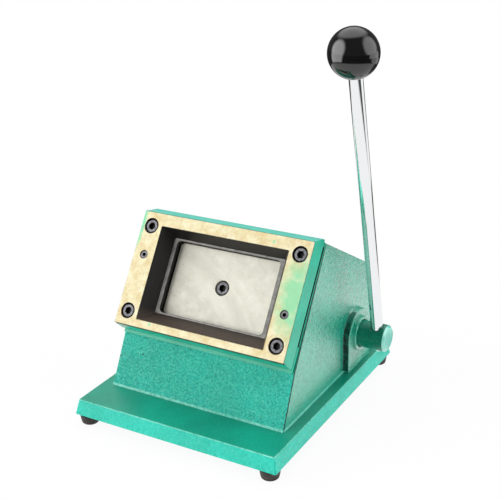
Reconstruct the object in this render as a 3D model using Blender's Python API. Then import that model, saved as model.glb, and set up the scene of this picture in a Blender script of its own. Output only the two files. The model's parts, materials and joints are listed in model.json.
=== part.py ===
"""Hand-lever card cutter: a cast frame, a tilted die block and a punch driven by a cam on the lever.

X runs to the right as the operator sees it, Y runs away from the operator and Z runs up from the table.
The pieces at the front are drawn in the die face's own frame: X across the face, Y up it and Z out of it.
"""
import math

import bmesh
import bpy
from mathutils import Matrix, Vector

mm = 0.001

# Fits
seat_gap = 0.3 * mm
running_gap = 0.15 * mm
cut_overrun = 4.0 * mm
merge_distance = 0.001 * mm

# Card and cutting edges
card_width = 85.6 * mm
card_height = 54.0 * mm
card_corner_radius = 3.18 * mm
punch_clearance = 0.25 * mm
punch_stroke = 6.0 * mm

# Die face: its middle and how far it leans back from the vertical
face_tilt_angle = math.radians(33.0)
face_setback = 39.4 * mm
face_height = 105.0 * mm

# Die block: how far it goes on past the card opening, and its thickness
die_side_margin = 26.7 * mm
die_edge_margin = 15.5 * mm
die_thickness = 15.5 * mm
die_top_chamfer_rise = 5.3 * mm
die_top_chamfer_run = 13.5 * mm
die_foot_chamfer_rise = 2.1 * mm
die_foot_chamfer_run = 11.0 * mm
die_edge_radius = 0.6 * mm
die_land_depth = 3.6 * mm
die_land_side_width = 2.9 * mm
die_land_edge_width = 1.4 * mm
window_side_flare = 9.4 * mm
window_edge_flare = 8.0 * mm
window_drop = 1.8 * mm
window_corner_radius = 0.8 * mm

# Guide plate behind the block, with the feed slot milled across its front; it ends level with the casting
feed_slot_width = 1.6 * mm
feed_slot_overrun = 16.0 * mm
feed_slot_sill = 1.5 * mm
guide_plate_thickness = 1.5 * mm
guide_plate_skirt = 4.5 * mm
seat_top_drop = 1.7 * mm

# Socket cap screws that hold the block, the punch and the base
cap_screw_radius = 3.0 * mm
cap_head_radius = 5.0 * mm
cap_head_height = 6.0 * mm
cap_head_chamfer = 0.6 * mm
cap_socket_flats = 5.0 * mm
cap_socket_depth = 3.0 * mm
cap_counterbore_radius = 5.65 * mm
cap_head_sink = 0.8 * mm
cap_hole_gap = 0.3 * mm
die_screw_reach = 26.5 * mm
die_screw_side_inset = 8.5 * mm
die_screw_edge_inset = 10.35 * mm

# Dowels that place the block
dowel_radius = 3.0 * mm
dowel_bore_radius = 1.4 * mm
dowel_bore_depth = 6.0 * mm
dowel_chamfer = 0.4 * mm
dowel_sink = 0.5 * mm
die_dowel_reach = 25.0 * mm
die_dowel_side_inset = 8.7 * mm
die_dowel_rise = 10.3 * mm

# Base plate
foot_height = 7.4 * mm
base_side_step = 9.1 * mm
base_length = 192.8 * mm
base_thickness = 11.7 * mm
base_draft = 2.5 * mm
base_edge_radius = 0.9 * mm

# Body casting
body_side_step = 1.9 * mm
body_draft_angle = math.radians(1.0)
body_front = 66.7 * mm
body_rear = 87.0 * mm
roof_slope_angle = math.radians(29.0)
body_edge_radius = 1.4 * mm
body_wall = 7.0 * mm
seat_wall = 10.0 * mm
punch_passage_gap = 0.6 * mm
rear_window_margin = 25.4 * mm
rear_window_height = 38.0 * mm
rear_window_lift = 34.0 * mm
rear_window_corner = 9.0 * mm
lug_radius = 9.0 * mm
lug_height = 22.0 * mm
lug_side_inset = 14.9 * mm
lug_front = 43.0 * mm
lug_rear = 72.5 * mm
base_screw_length = 16.0 * mm

# Bearing pads on the body's sides, and the bosses behind them
shaft_setback = 49.6 * mm
shaft_height = 45.4 * mm
pad_radius = 19.1 * mm
pad_proud = 4.8 * mm
pad_root_depth = 12.0 * mm
pad_edge_radius = 0.8 * mm
boss_radius = 17.0 * mm
boss_depth = 11.0 * mm
bush_wall = 2.2 * mm
bush_inset = 0.5 * mm
bush_flange_radius = 13.4 * mm
bush_flange_thickness = 2.0 * mm

# Lever: shaft, rod and knob
shaft_radius = 10.25 * mm
shaft_reach = 23.4 * mm
shaft_chamfer = 1.7 * mm
lever_reach = 14.7 * mm
lever_lean_angle = math.radians(14.6)
lever_turn_angle = math.radians(70.0)
rod_radius = 4.75 * mm
rod_chamfer = 0.7 * mm
rod_tail = 0.6 * mm
knob_radius = 16.8 * mm
knob_reach = 230.5 * mm
knob_flat_radius = 7.5 * mm
knob_socket_depth = 15.0 * mm
ring_thickness = 1.3 * mm
ring_radius = 13.6 * mm
ring_groove_depth = 1.0 * mm
ring_gape_angle = math.radians(70.0)
shaft_left_tail = 1.8 * mm

# Cam, its key and its set screw
cam_width = 14.0 * mm
cam_start_radius = 15.0 * mm
cam_hub_radius = 14.8 * mm
cam_hub_length = 16.0 * mm
cam_lead_angle = math.radians(8.0)
cam_fall_angle = math.radians(100.0)
cam_step_angle = math.radians(3.0)
key_side = 5.0 * mm
key_length = 22.0 * mm
key_angle = math.radians(-60.0)
set_screw_radius = 2.5 * mm
set_screw_length = 3.6 * mm
set_screw_flats = 2.5 * mm
set_screw_angle = math.radians(-150.0)

# Punch and ram
punch_length = 32.0 * mm
punch_face_recess = 0.3 * mm
punch_edge_chamfer = 0.2 * mm
punch_screw_grip = 34.0 * mm
punch_dowel_reach = 9.0 * mm
punch_dowel_side_inset = 15.55 * mm
ram_thickness = 12.0 * mm
ram_side_inset = 0.55 * mm
ram_edge_inset = 1.75 * mm
ram_corner_radius = 4.0 * mm
ram_ear_radius = 9.8 * mm
clevis_root = 19.0 * mm
clevis_cheek = 9.2 * mm
clevis_tip_radius = 9.0 * mm
clevis_slot_gap = 1.5 * mm
roller_radius = 11.0 * mm
roller_side_gap = 0.8 * mm
roller_chamfer = 0.8 * mm
roller_pin_radius = 4.0 * mm
roller_pin_head_radius = 6.0 * mm
roller_pin_head_thickness = 2.0 * mm

# Guide pins, bushes, springs and the nuts that stop the ram
pin_standoff = 9.45 * mm
pin_radius = 6.0 * mm
pin_chamfer = 0.8 * mm
pin_thread_radius = 4.0 * mm
pin_thread_tail = 2.0 * mm
guide_bush_radius = 7.6 * mm
guide_bush_flange_radius = 9.2 * mm
guide_bush_flange_thickness = 1.5 * mm
washer_radius = 8.5 * mm
washer_thickness = 1.6 * mm
nut_flats = 13.0 * mm
nut_height = 6.5 * mm
nut_chamfer = 0.6 * mm
spring_wire_radius = 0.9 * mm
spring_coil_radius = 7.6 * mm
spring_turns = 4.5

# Rubber feet and their screws
foot_top_radius = 7.3 * mm
foot_bottom_radius = 6.7 * mm
foot_edge_radius = 0.8 * mm
foot_side_inset = 8.4 * mm
foot_end_inset = 7.3 * mm
foot_recess_radius = 4.4 * mm
foot_recess_depth = 3.6 * mm
foot_screw_radius = 2.0 * mm
foot_screw_head_radius = 3.7 * mm
foot_screw_head_height = 2.4 * mm
foot_screw_length = 10.0 * mm
foot_screw_flats = 2.5 * mm
foot_screw_socket_depth = 1.4 * mm

# How finely round shapes are divided
large_segments = 36
medium_segments = 20
small_segments = 12
knob_steps = 12
corner_steps = 4
spring_points_per_turn = 9

# Places that follow from the sizes
die_width = card_width + 2 * die_side_margin
die_height = card_height + 2 * die_edge_margin
window_width = card_width + 2 * window_side_flare
window_height = card_height + 2 * window_edge_flare
feed_slot_top = card_height / 2 + feed_slot_overrun
feed_slot_foot = card_height / 2 + feed_slot_sill
guide_plate_foot = die_height / 2 + guide_plate_skirt
die_screw_spread = die_width / 2 - die_screw_side_inset
die_screw_rise = die_height / 2 - die_screw_edge_inset
die_dowel_spread = die_width / 2 - die_dowel_side_inset
body_width = die_width + 2 * body_side_step
base_width = body_width + 2 * base_side_step
base_top = foot_height + base_thickness
body_foot = base_top + seat_gap
rear_window_width = body_width - 2 * rear_window_margin
lug_spread = body_width / 2 - lug_side_inset
pad_face = body_width / 2 + pad_proud
shaft_right_end = pad_face + shaft_reach
lever_plane = pad_face + lever_reach
slot_floor_depth = die_thickness + feed_slot_width
guide_plate_back = slot_floor_depth + guide_plate_thickness
seat_depth = guide_plate_back + seat_gap
seat_wall_back = seat_depth + seat_wall
punch_face_depth = slot_floor_depth + punch_face_recess
punch_width = card_width - 2 * punch_clearance
punch_height = card_height - 2 * punch_clearance
punch_corner_radius = card_corner_radius - punch_clearance
punch_dowel_spread = punch_width / 2 - punch_dowel_side_inset
ram_width = punch_width - 2 * ram_side_inset
ram_height = punch_height - 2 * ram_edge_inset
pin_spread = punch_width / 2 + pin_standoff
clevis_width = cam_width + 2 * roller_side_gap + 2 * clevis_cheek
die_top = die_height / 2 + die_top_chamfer_rise
die_foot = die_height / 2 + die_foot_chamfer_rise
seat_top_rise = die_top - seat_top_drop
ram_front_depth = punch_face_depth + punch_length + seat_gap
ram_back_depth = ram_front_depth + ram_thickness
lift_per_radian = punch_stroke / lever_turn_angle

sin_tilt = math.sin(face_tilt_angle)
cos_tilt = math.cos(face_tilt_angle)


def to_face(y, z):
    """How far up the die face and how deep behind it a point of the casting's side view lies."""
    back = y + face_setback
    up = z - face_height
    return back * sin_tilt + up * cos_tilt, back * cos_tilt - up * sin_tilt


def from_face(rise, depth):
    """The (Y, Z) of a point that lies this far up the die face and this deep behind it."""
    y = -face_setback + rise * sin_tilt + depth * cos_tilt
    z = face_height + rise * cos_tilt - depth * sin_tilt
    return y, z


shaft_rise, shaft_depth = to_face(shaft_setback, shaft_height)
roller_depth = shaft_depth - cam_start_radius - roller_radius
base_half_width = base_width / 2 + base_draft
plan_shift = (base_half_width - lever_plane - knob_radius) / 2

along_x = Matrix(((0, 0, 1, 0), (1, 0, 0, 0), (0, 1, 0, 0), (0, 0, 0, 1)))


# Shape helpers
def arc(centre, radius, start, end, steps):
    """Points on a circle from one angle to another, both ends included."""
    angles = [start + (end - start) * step / steps for step in range(steps + 1)]
    return [(centre[0] + radius * math.cos(a), centre[1] + radius * math.sin(a)) for a in angles]


def circle(radius, segments):
    """Points round a circle about the origin."""
    return arc((0, 0), radius, 0, math.tau, segments)[:-1]


def rounded_rectangle(width, height, radius, rise=0.0):
    """Outline of a rectangle with round corners whose middle lies at this rise."""
    x = width / 2 - radius
    y = height / 2 - radius
    quarter = math.pi / 2
    points = []
    for turn, (sx, sy) in enumerate(((1, 1), (-1, 1), (-1, -1), (1, -1))):
        start = turn * quarter
        points += arc((sx * x, rise + sy * y), radius, start, start + quarter, corner_steps)
    return points


def hexagon(flats, segments):
    """Points round a hexagon, at the same angles as a circle's, so that the two can be joined."""
    sector = math.tau / 6
    points = []
    for step in range(segments):
        angle = math.tau * step / segments
        reach = flats / 2 / math.cos(angle % sector - sector / 2)
        points.append((reach * math.cos(angle), reach * math.sin(angle)))
    return points


def extruded(outline, start, end):
    """Solid drawn out along Z from a flat outline."""
    bm = bmesh.new()
    face = bm.faces.new([bm.verts.new((x, y, start)) for x, y in outline])
    drawn = bmesh.ops.extrude_face_region(bm, geom=[face])["geom"]
    moved = [item for item in drawn if isinstance(item, bmesh.types.BMVert)]
    bmesh.ops.translate(bm, verts=moved, vec=(0, 0, end - start))
    bmesh.ops.recalc_face_normals(bm, faces=bm.faces)
    return bm


def skinned(rings):
    """Solid through a run of rings that all have the same number of points."""
    bm = bmesh.new()
    loops = [[bm.verts.new(point) for point in ring] for ring in rings]
    for lower, upper in zip(loops, loops[1:]):
        for i, corner in enumerate(lower):
            j = (i + 1) % len(lower)
            bm.faces.new((corner, lower[j], upper[j], upper[i]))
    bm.faces.new(loops[0])
    bm.faces.new(loops[-1])
    bmesh.ops.recalc_face_normals(bm, faces=bm.faces)
    return bm


def level(outline, z):
    """A flat outline raised to a height, as one ring of a skinned solid."""
    return [(x, y, z) for x, y in outline]


def turned(profile, segments):
    """Solid of revolution about Z from (radius, height) points that run round its section."""
    bm = bmesh.new()
    verts = [bm.verts.new((radius, 0, height)) for radius, height in profile]
    edges = []
    for first, second in zip(verts, verts[1:] + verts[:1]):
        if first.co.x > 0 or second.co.x > 0:
            edges.append(bm.edges.new((first, second)))
    around = {"cent": (0, 0, 0), "axis": (0, 0, 1), "angle": math.tau}
    bmesh.ops.spin(bm, geom=verts + edges, steps=segments, use_merge=True, **around)
    bmesh.ops.remove_doubles(bm, verts=bm.verts, dist=merge_distance)
    bmesh.ops.recalc_face_normals(bm, faces=bm.faces)
    return bm


def placed(bm, matrix):
    """The same solid after a turn or a move."""
    bmesh.ops.transform(bm, matrix=matrix, verts=bm.verts)
    return bm


def plug(radius, start, end, segments=small_segments):
    """Plain round cutter along Z."""
    return extruded(circle(radius, segments), start, end)


# Object helpers
def frame(name, parent=None, location=(0, 0, 0), turn=0.0):
    """An empty that carries pieces, turned about X."""
    carrier = bpy.data.objects.new(name, None)
    bpy.context.collection.objects.link(carrier)
    carrier.parent = parent
    carrier.location = location
    carrier.rotation_euler = (turn, 0, 0)
    return carrier


def piece(name, bm, parent, finish, smooth=False, location=(0, 0, 0)):
    """A named sub-part made from a solid."""
    mesh = bpy.data.meshes.new(name)
    bm.to_mesh(mesh)
    bm.free()
    return use_mesh(name, mesh, parent, finish, smooth, location)


def use_mesh(name, mesh, parent, finish, smooth=False, location=(0, 0, 0)):
    """A named sub-part on a mesh that others may share."""
    if finish and not mesh.materials:
        mesh.materials.append(finish)
    if smooth:
        mesh.shade_smooth()
        mesh.set_sharp_from_angle(angle=math.radians(30.0))
    part = bpy.data.objects.new(name, mesh)
    bpy.context.collection.objects.link(part)
    part.parent = parent
    part.location = location
    return part


def cutter(name, bm, parent, location=(0, 0, 0)):
    """A hidden shape that a Boolean takes away or adds."""
    tool = piece("cut_" + name, bm, parent, None, location=location)
    tool.hide_render = True
    tool.display_type = "WIRE"
    return tool


def combine(part, tool, operation="DIFFERENCE"):
    """Cuts the tool out of the part, or joins it on."""
    step = part.modifiers.new(tool.name, "BOOLEAN")
    step.operation = operation
    step.solver = "EXACT"
    step.object = tool


def round_edges(part, radius, segments=2):
    """Rounds the part's sharp edges."""
    step = part.modifiers.new("edges", "BEVEL")
    step.width = radius
    step.segments = segments
    step.limit_method = "ANGLE"
    step.angle_limit = math.radians(25.0)


# Materials
def material(name, colour, roughness, metallic):
    """A Principled material."""
    finish = bpy.data.materials.new(name)
    finish.use_nodes = True
    shader = finish.node_tree.nodes["Principled BSDF"]
    shader.inputs["Base Color"].default_value = (*colour, 1.0)
    shader.inputs["Roughness"].default_value = roughness
    shader.inputs["Metallic"].default_value = metallic
    return finish


def make_materials():
    """One material for each kind of surface."""
    return {
        "enamel": material("green_enamel", (0.07, 0.50, 0.38), 0.30, 0.0),
        "die_steel": material("ground_die_steel", (0.78, 0.70, 0.50), 0.40, 0.6),
        "punch_steel": material("ground_punch_steel", (0.72, 0.71, 0.66), 0.40, 0.6),
        "steel": material("machined_steel", (0.50, 0.50, 0.50), 0.35, 1.0),
        "black_oxide": material("black_oxide_steel", (0.04, 0.04, 0.045), 0.45, 0.8),
        "spring_steel": material("spring_steel", (0.30, 0.30, 0.32), 0.35, 1.0),
        "bronze": material("bearing_bronze", (0.55, 0.36, 0.16), 0.35, 1.0),
        "chrome": material("polished_chrome", (0.80, 0.80, 0.80), 0.10, 1.0),
        "phenolic": material("black_phenolic", (0.01, 0.01, 0.01), 0.12, 0.0),
        "rubber": material("black_rubber", (0.03, 0.03, 0.03), 0.70, 0.0),
    }


# Fastener meshes
def socket_screw(head_radius, head_height, shank_radius, length, flats, socket_depth, chamfer):
    """Cap screw whose head's top lies at zero and whose shank runs down Z."""
    n = small_segments
    tip = -head_height - length
    rings = [
        level(hexagon(flats, n), -socket_depth),
        level(hexagon(flats, n), 0),
        level(circle(head_radius - chamfer, n), 0),
        level(circle(head_radius, n), -chamfer),
        level(circle(head_radius, n), -head_height),
        level(circle(shank_radius, n), -head_height),
        level(circle(shank_radius, n), tip + chamfer),
        level(circle(shank_radius - chamfer, n), tip),
    ]
    return skinned(rings)


def cap_screw_mesh(name, length):
    """The cap screw used all over the machine, at the length that its place needs."""
    bm = socket_screw(
        cap_head_radius, cap_head_height, cap_screw_radius, length, cap_socket_flats, cap_socket_depth,
        cap_head_chamfer,
    )
    mesh = bpy.data.meshes.new(name)
    bm.to_mesh(mesh)
    bm.free()
    return mesh


def dowel(length):
    """Ground pin with a puller hole in its front end, which lies at zero."""
    r = dowel_radius
    c = dowel_chamfer
    return turned(
        [(0, -dowel_bore_depth), (dowel_bore_radius, -dowel_bore_depth), (dowel_bore_radius, 0), (r - c, 0),
         (r, -c), (r, c - length), (r - c, -length), (0, -length)],
        small_segments,
    )


def counterbored_hole(depth_of_head, end):
    """Cutter for a cap screw that enters from above zero and passes down to end."""
    r = cap_screw_radius + cap_hole_gap
    return turned(
        [(0, cut_overrun), (cap_counterbore_radius, cut_overrun), (cap_counterbore_radius, -depth_of_head),
         (r, -depth_of_head), (r, end), (0, end)],
        small_segments,
    )


# Base plate and feet
def make_base(casting, finish):
    """Drafted base plate, tapped for the feet and counterbored from below for the body's screws."""
    lower = rounded_rectangle(base_width + 2 * base_draft, base_length + 2 * base_draft, base_draft)
    upper = rounded_rectangle(base_width, base_length, base_draft)
    solid = skinned([level(lower, foot_height), level(upper, base_top)])
    plate = piece("base_plate", solid, casting, finish["enamel"])
    round_edges(plate, base_edge_radius)
    turn_over = Matrix.Rotation(math.pi, 4, "X")
    head_room = cap_head_height + cap_head_sink
    screw = cap_screw_mesh("base_screw", base_screw_length)
    for number, (x, y) in enumerate(lug_places(), 1):
        hole = placed(counterbored_hole(head_room, -base_thickness - cut_overrun), turn_over)
        combine(plate, cutter(f"base_hole_{number}", hole, casting, (x, y, foot_height)))
        part = use_mesh(f"base_screw_{number}", screw, casting, finish["black_oxide"], True)
        part.location = (x, y, foot_height + cap_head_sink)
        part.rotation_euler = (math.pi, 0, 0)
    for number, (x, y) in enumerate(foot_places(), 1):
        hole = plug(foot_screw_radius + running_gap, -cut_overrun, foot_screw_depth() + cut_overrun / 2)
        combine(plate, cutter(f"foot_hole_{number}", hole, casting, (x, y, foot_height)))
    return plate


def lug_places():
    """Where the body's screw lugs stand."""
    return [(x, y) for y in (-lug_front, lug_rear) for x in (-lug_spread, lug_spread)]


def foot_places():
    """Where the four feet stand, measured in from the base plate's lower edges."""
    x = base_half_width - foot_side_inset
    y = base_length / 2 + base_draft - foot_end_inset
    return [(-x, -y), (x, -y), (-x, y), (x, y)]


def foot_screw_depth():
    """How far a foot's screw reaches into the base plate."""
    return foot_recess_depth + foot_screw_length - foot_height


def make_feet(casting, finish):
    """Tapered rubber feet, each held by a screw in its recess."""
    top = foot_height - seat_gap
    hole = foot_screw_radius + running_gap
    edge = foot_edge_radius
    profile = [
        (foot_bottom_radius - edge, 0), (foot_bottom_radius, edge), (foot_top_radius, top), (hole, top),
        (hole, foot_recess_depth), (foot_recess_radius, foot_recess_depth), (foot_recess_radius, 0),
    ]
    bm = turned(profile, medium_segments)
    mesh = bpy.data.meshes.new("rubber_foot")
    bm.to_mesh(mesh)
    bm.free()
    screw_bm = socket_screw(
        foot_screw_head_radius, foot_screw_head_height, foot_screw_radius, foot_screw_length,
        foot_screw_flats, foot_screw_socket_depth, cap_head_chamfer,
    )
    screw = bpy.data.meshes.new("foot_screw")
    screw_bm.to_mesh(screw)
    screw_bm.free()
    head_top = foot_recess_depth - foot_screw_head_height - seat_gap
    for number, (x, y) in enumerate(foot_places(), 1):
        use_mesh(f"rubber_foot_{number}", mesh, casting, finish["rubber"], True, (x, y, 0))
        part = use_mesh(f"foot_screw_{number}", screw, casting, finish["steel"], True, (x, y, head_top))
        part.rotation_euler = (math.pi, 0, 0)


# Body casting
def half_width(z):
    """Half the body's width at a height, less as it rises."""
    return body_width / 2 - (z - body_foot) * math.tan(body_draft_angle)


def side_outline():
    """The body seen from its side: front foot, seat foot, seat top, roof's rear edge, rear foot."""
    seat_foot = from_face(-guide_plate_foot, seat_depth)
    seat_top = from_face(seat_top_rise, seat_depth)
    drop = (body_rear - seat_top[0]) * math.tan(roof_slope_angle)
    roof_edge = (body_rear, seat_top[1] - drop)
    return [(-body_front, body_foot), seat_foot, seat_top, roof_edge, (body_rear, body_foot)]


def inset(outline, distances):
    """The outline with each side moved in by its own distance; a negative one moves out."""
    lines = []
    for (p, q), distance in zip(zip(outline, outline[1:] + outline[:1]), distances):
        run = Vector(q) - Vector(p)
        inward = Vector((run.y, -run.x)).normalized()
        lines.append((Vector(p) + inward * distance, run))
    corners = []
    for (p, d), (q, e) in zip([lines[-1]] + lines[:-1], lines):
        share = (q - p).cross(e) / d.cross(e)
        corners.append(tuple(p + d * share))
    return corners


def drafted(outline, narrower):
    """Solid between the body's two drafted side planes, moved in by a wall."""
    left = [(narrower - half_width(z), y, z) for y, z in outline]
    right = [(half_width(z) - narrower, y, z) for y, z in outline]
    return skinned([left, right])


def pad_solid(side):
    """Round-topped bearing pad that stands on the base plate, on the right (1) or the left (-1)."""
    centre = (shaft_setback, shaft_height)
    pad_foot = body_foot - cut_overrun / 2
    outline = [(shaft_setback - pad_radius, pad_foot), (shaft_setback + pad_radius, pad_foot)]
    outline += arc(centre, pad_radius, 0, math.pi, large_segments // 2)
    faces = sorted((side * pad_face, side * (pad_face - pad_root_depth)))
    return placed(extruded(outline, *faces), along_x)


def bevel_pad_rim(bm, side):
    """Rounds the edge of the pad's outer face."""
    plane = side * pad_face
    face_edges = [e for e in bm.edges if all(abs(v.co.x - plane) < merge_distance for v in e.verts)]
    bmesh.ops.bevel(bm, geom=face_edges, offset=pad_edge_radius, segments=2, profile=0.5, affect="EDGES")
    return bm


def make_body(casting, die, finish):
    """Hollow casting, open below and through a window at the rear."""
    outline = side_outline()
    block = inset(outline, (0, 0, 0, 0, -cut_overrun))
    body = piece("body_casting", drafted(block, 0), casting, finish["enamel"])
    round_edges(body, body_edge_radius)
    for side, word in ((-1, "left"), (1, "right")):
        combine(body, cutter(f"pad_{word}", bevel_pad_rim(pad_solid(side), side), casting), "UNION")
    hollow = inset(outline, (body_wall, seat_wall, body_wall, body_wall, -2 * cut_overrun))
    combine(body, cutter("hollow", drafted(hollow, body_wall), casting))
    add_bosses(body, casting)
    cut_rear_window(body, casting)
    cut_seat(body, die)
    cut_bores(body, casting)
    trim_foot(body, casting)
    return body


def add_bosses(body, casting):
    """Inner bosses round the shaft's bores, and lugs for the base plate's screws."""
    wall_inside = half_width(shaft_height) - body_wall
    for side, word in ((-1, "left"), (1, "right")):
        ends = sorted((side * (wall_inside + body_wall / 2), side * (wall_inside - boss_depth)))
        boss = placed(plug(boss_radius, *ends, medium_segments), along_x)
        combine(body, cutter(f"boss_{word}", boss, casting, (0, shaft_setback, shaft_height)), "UNION")
    for number, (x, y) in enumerate(lug_places(), 1):
        lug = plug(lug_radius, -cut_overrun / 4, lug_height, medium_segments)
        lug = cutter(f"lug_{number}", lug, casting, (x, y, body_foot))
        combine(body, lug, "UNION")
        hole = plug(cap_screw_radius + running_gap, -cut_overrun, base_screw_length + cut_overrun / 2)
        combine(body, cutter(f"lug_hole_{number}", hole, casting, (x, y, body_foot)))


def trim_foot(body, casting):
    """Machines the foot flat; the walls, pads and lugs are modelled a little too long for it."""
    across = pad_face + cut_overrun
    front = -body_front - 2 * cut_overrun
    rear = body_rear + cut_overrun
    outline = [(-across, front), (across, front), (across, rear), (-across, rear)]
    trim = extruded(outline, body_foot - 2 * cut_overrun, body_foot)
    combine(body, cutter("foot_trim", trim, casting))


def cut_rear_window(body, casting):
    """Service window in the rear wall."""
    outline = rounded_rectangle(rear_window_width, rear_window_height, rear_window_corner)
    lift = body_foot + rear_window_lift
    window = extruded(outline, -body_wall - cut_overrun, cut_overrun)
    window = placed(window, Matrix.Rotation(-math.pi / 2, 4, "X"))
    combine(body, cutter("rear_window", window, casting, (0, body_rear, lift)))


def cut_seat(body, die):
    """Punch passage, guide pin bores, dowel holes and tapped holes in the inclined seat."""
    width = punch_width + 2 * punch_passage_gap
    height = punch_height + 2 * punch_passage_gap
    near = -seat_depth + cut_overrun
    far = -seat_wall_back - cut_overrun
    passage = extruded(rounded_rectangle(width, height, card_corner_radius), far, near)
    combine(body, cutter("punch_passage", passage, die))
    for number, x in enumerate((-pin_spread, pin_spread), 1):
        bore = plug(pin_radius + running_gap, far, near, medium_segments)
        combine(body, cutter(f"pin_bore_{number}", bore, die, (x, 0, 0)))
    for number, (x, y) in enumerate(die_screw_places(), 1):
        bore = plug(cap_screw_radius + running_gap, far, near)
        combine(body, cutter(f"die_screw_bore_{number}", bore, die, (x, y, 0)))
    for number, (x, y) in enumerate(die_dowel_places(), 1):
        bore = plug(dowel_radius + running_gap, far, near)
        combine(body, cutter(f"die_dowel_bore_{number}", bore, die, (x, y, 0)))


def cut_bores(body, casting):
    """The two bores that hold the shaft's bushes, cut in one pass."""
    reach = pad_face + cut_overrun
    bore = placed(plug(bush_radius() + running_gap, -reach, reach, large_segments), along_x)
    combine(body, cutter("shaft_bore", bore, casting, (0, shaft_setback, shaft_height)))


def bush_radius():
    """Outer radius of a shaft bush's barrel."""
    return shaft_radius + running_gap + bush_wall


# Die block and guide plate
def die_screw_places():
    """The four corners where the die block is bolted on."""
    sides = (-die_screw_spread, die_screw_spread)
    return [(x, y) for y in (die_screw_rise, -die_screw_rise) for x in sides]


def die_dowel_places():
    """The two dowels, across from each other."""
    return [(-die_dowel_spread, die_dowel_rise), (die_dowel_spread, -die_dowel_rise)]


def card_outline():
    """The card's own outline, which the land cuts to."""
    return rounded_rectangle(card_width, card_height, card_corner_radius)


def make_die_block(die, finish):
    """Steel block with a flared window down to a narrow land round the card opening."""
    half = die_height / 2
    outline = [
        (-die_foot, -die_thickness), (-die_foot, -die_foot_chamfer_run), (-half, 0), (half, 0),
        (die_top, -die_top_chamfer_run), (die_top, -die_thickness),
    ]
    solid = placed(extruded(outline, -die_width / 2, die_width / 2), along_x)
    block = piece("die_block", solid, die, finish["die_steel"])
    round_edges(block, die_edge_radius)
    land_top = -(die_thickness - die_land_depth)
    mouth = rounded_rectangle(window_width, window_height, window_corner_radius, -window_drop)
    floor_width = card_width + 2 * die_land_side_width
    floor_height = card_height + 2 * die_land_edge_width
    floor = rounded_rectangle(floor_width, floor_height, card_corner_radius)
    spread = cut_overrun / -land_top
    beyond = [(x + (x - a) * spread, y + (y - b) * spread) for (x, y), (a, b) in zip(mouth, floor)]
    flare = skinned([level(floor, land_top), level(mouth, 0), level(beyond, cut_overrun)])
    combine(block, cutter("window", flare, die))
    opening = extruded(card_outline(), -die_thickness - cut_overrun, land_top + cut_overrun / 2)
    combine(block, cutter("card_opening", opening, die))
    for number, (x, y) in enumerate(die_screw_places(), 1):
        hole = counterbored_hole(cap_head_sink + cap_head_height + seat_gap, -die_thickness - cut_overrun)
        combine(block, cutter(f"die_screw_hole_{number}", hole, die, (x, y, 0)))
    for number, (x, y) in enumerate(die_dowel_places(), 1):
        hole = plug(dowel_radius + running_gap, -die_thickness - cut_overrun, cut_overrun)
        combine(block, cutter(f"die_dowel_hole_{number}", hole, die, (x, y, 0)))
    return block


def make_guide_plate(die, finish):
    """Plate between block and casting: the feed slot crosses its front, and the punch passes through it."""
    front = -die_thickness - seat_gap
    floor = -slot_floor_depth
    back = -guide_plate_back
    outline = [
        (-guide_plate_foot, back), (-guide_plate_foot, front), (-feed_slot_foot, front),
        (-feed_slot_foot, floor), (feed_slot_top, floor), (feed_slot_top, front), (seat_top_rise, front),
        (seat_top_rise, back),
    ]
    solid = placed(extruded(outline, -die_width / 2, die_width / 2), along_x)
    plate = piece("guide_plate", solid, die, finish["enamel"])
    opening = extruded(card_outline(), back - cut_overrun, floor + cut_overrun)
    combine(plate, cutter("punch_opening", opening, die))
    for number, (x, y) in enumerate(die_screw_places(), 1):
        hole = plug(cap_screw_radius + cap_hole_gap, back - cut_overrun, front + cut_overrun)
        combine(plate, cutter(f"plate_screw_hole_{number}", hole, die, (x, y, 0)))
    for number, (x, y) in enumerate(die_dowel_places(), 1):
        hole = plug(dowel_radius + running_gap, back - cut_overrun, front + cut_overrun)
        combine(plate, cutter(f"plate_dowel_hole_{number}", hole, die, (x, y, 0)))
    return plate


def make_die_fasteners(die, finish):
    """Corner screws in their counterbores, and the two dowels."""
    screw = cap_screw_mesh("die_screw", die_screw_reach - cap_head_sink - cap_head_height)
    for number, (x, y) in enumerate(die_screw_places(), 1):
        use_mesh(f"die_screw_{number}", screw, die, finish["black_oxide"], True, (x, y, -cap_head_sink))
    for number, (x, y) in enumerate(die_dowel_places(), 1):
        part = dowel(die_dowel_reach - dowel_sink)
        piece(f"die_dowel_{number}", part, die, finish["steel"], True, (x, y, -dowel_sink))


# Punch and ram
def make_punch(ram, finish):
    """Hardened block with the card's outline, held by one screw and two dowels."""
    front = -punch_face_depth
    back = front - punch_length
    c = punch_edge_chamfer
    rim = rounded_rectangle(punch_width - 2 * c, punch_height - 2 * c, punch_corner_radius)
    full = rounded_rectangle(punch_width, punch_height, punch_corner_radius)
    solid = skinned([level(full, back), level(full, front - c), level(rim, front)])
    punch = piece("punch", solid, ram, finish["punch_steel"])
    hole = counterbored_hole(cap_head_sink + cap_head_height + seat_gap, -punch_length - cut_overrun)
    combine(punch, cutter("punch_screw_hole", hole, ram, (0, 0, front)))
    for number, x in enumerate((-punch_dowel_spread, punch_dowel_spread), 1):
        hole = plug(dowel_radius + running_gap, back - cut_overrun, back + punch_dowel_reach + seat_gap)
        combine(punch, cutter(f"punch_dowel_hole_{number}", hole, ram, (x, 0, 0)))
        part = dowel(2 * punch_dowel_reach)
        piece(f"punch_dowel_{number}", part, ram, finish["steel"], True, (x, 0, back + punch_dowel_reach))
    screw = cap_screw_mesh("punch_screw", punch_screw_grip)
    use_mesh("punch_screw", screw, ram, finish["black_oxide"], True, (0, 0, front - cap_head_sink))


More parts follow.
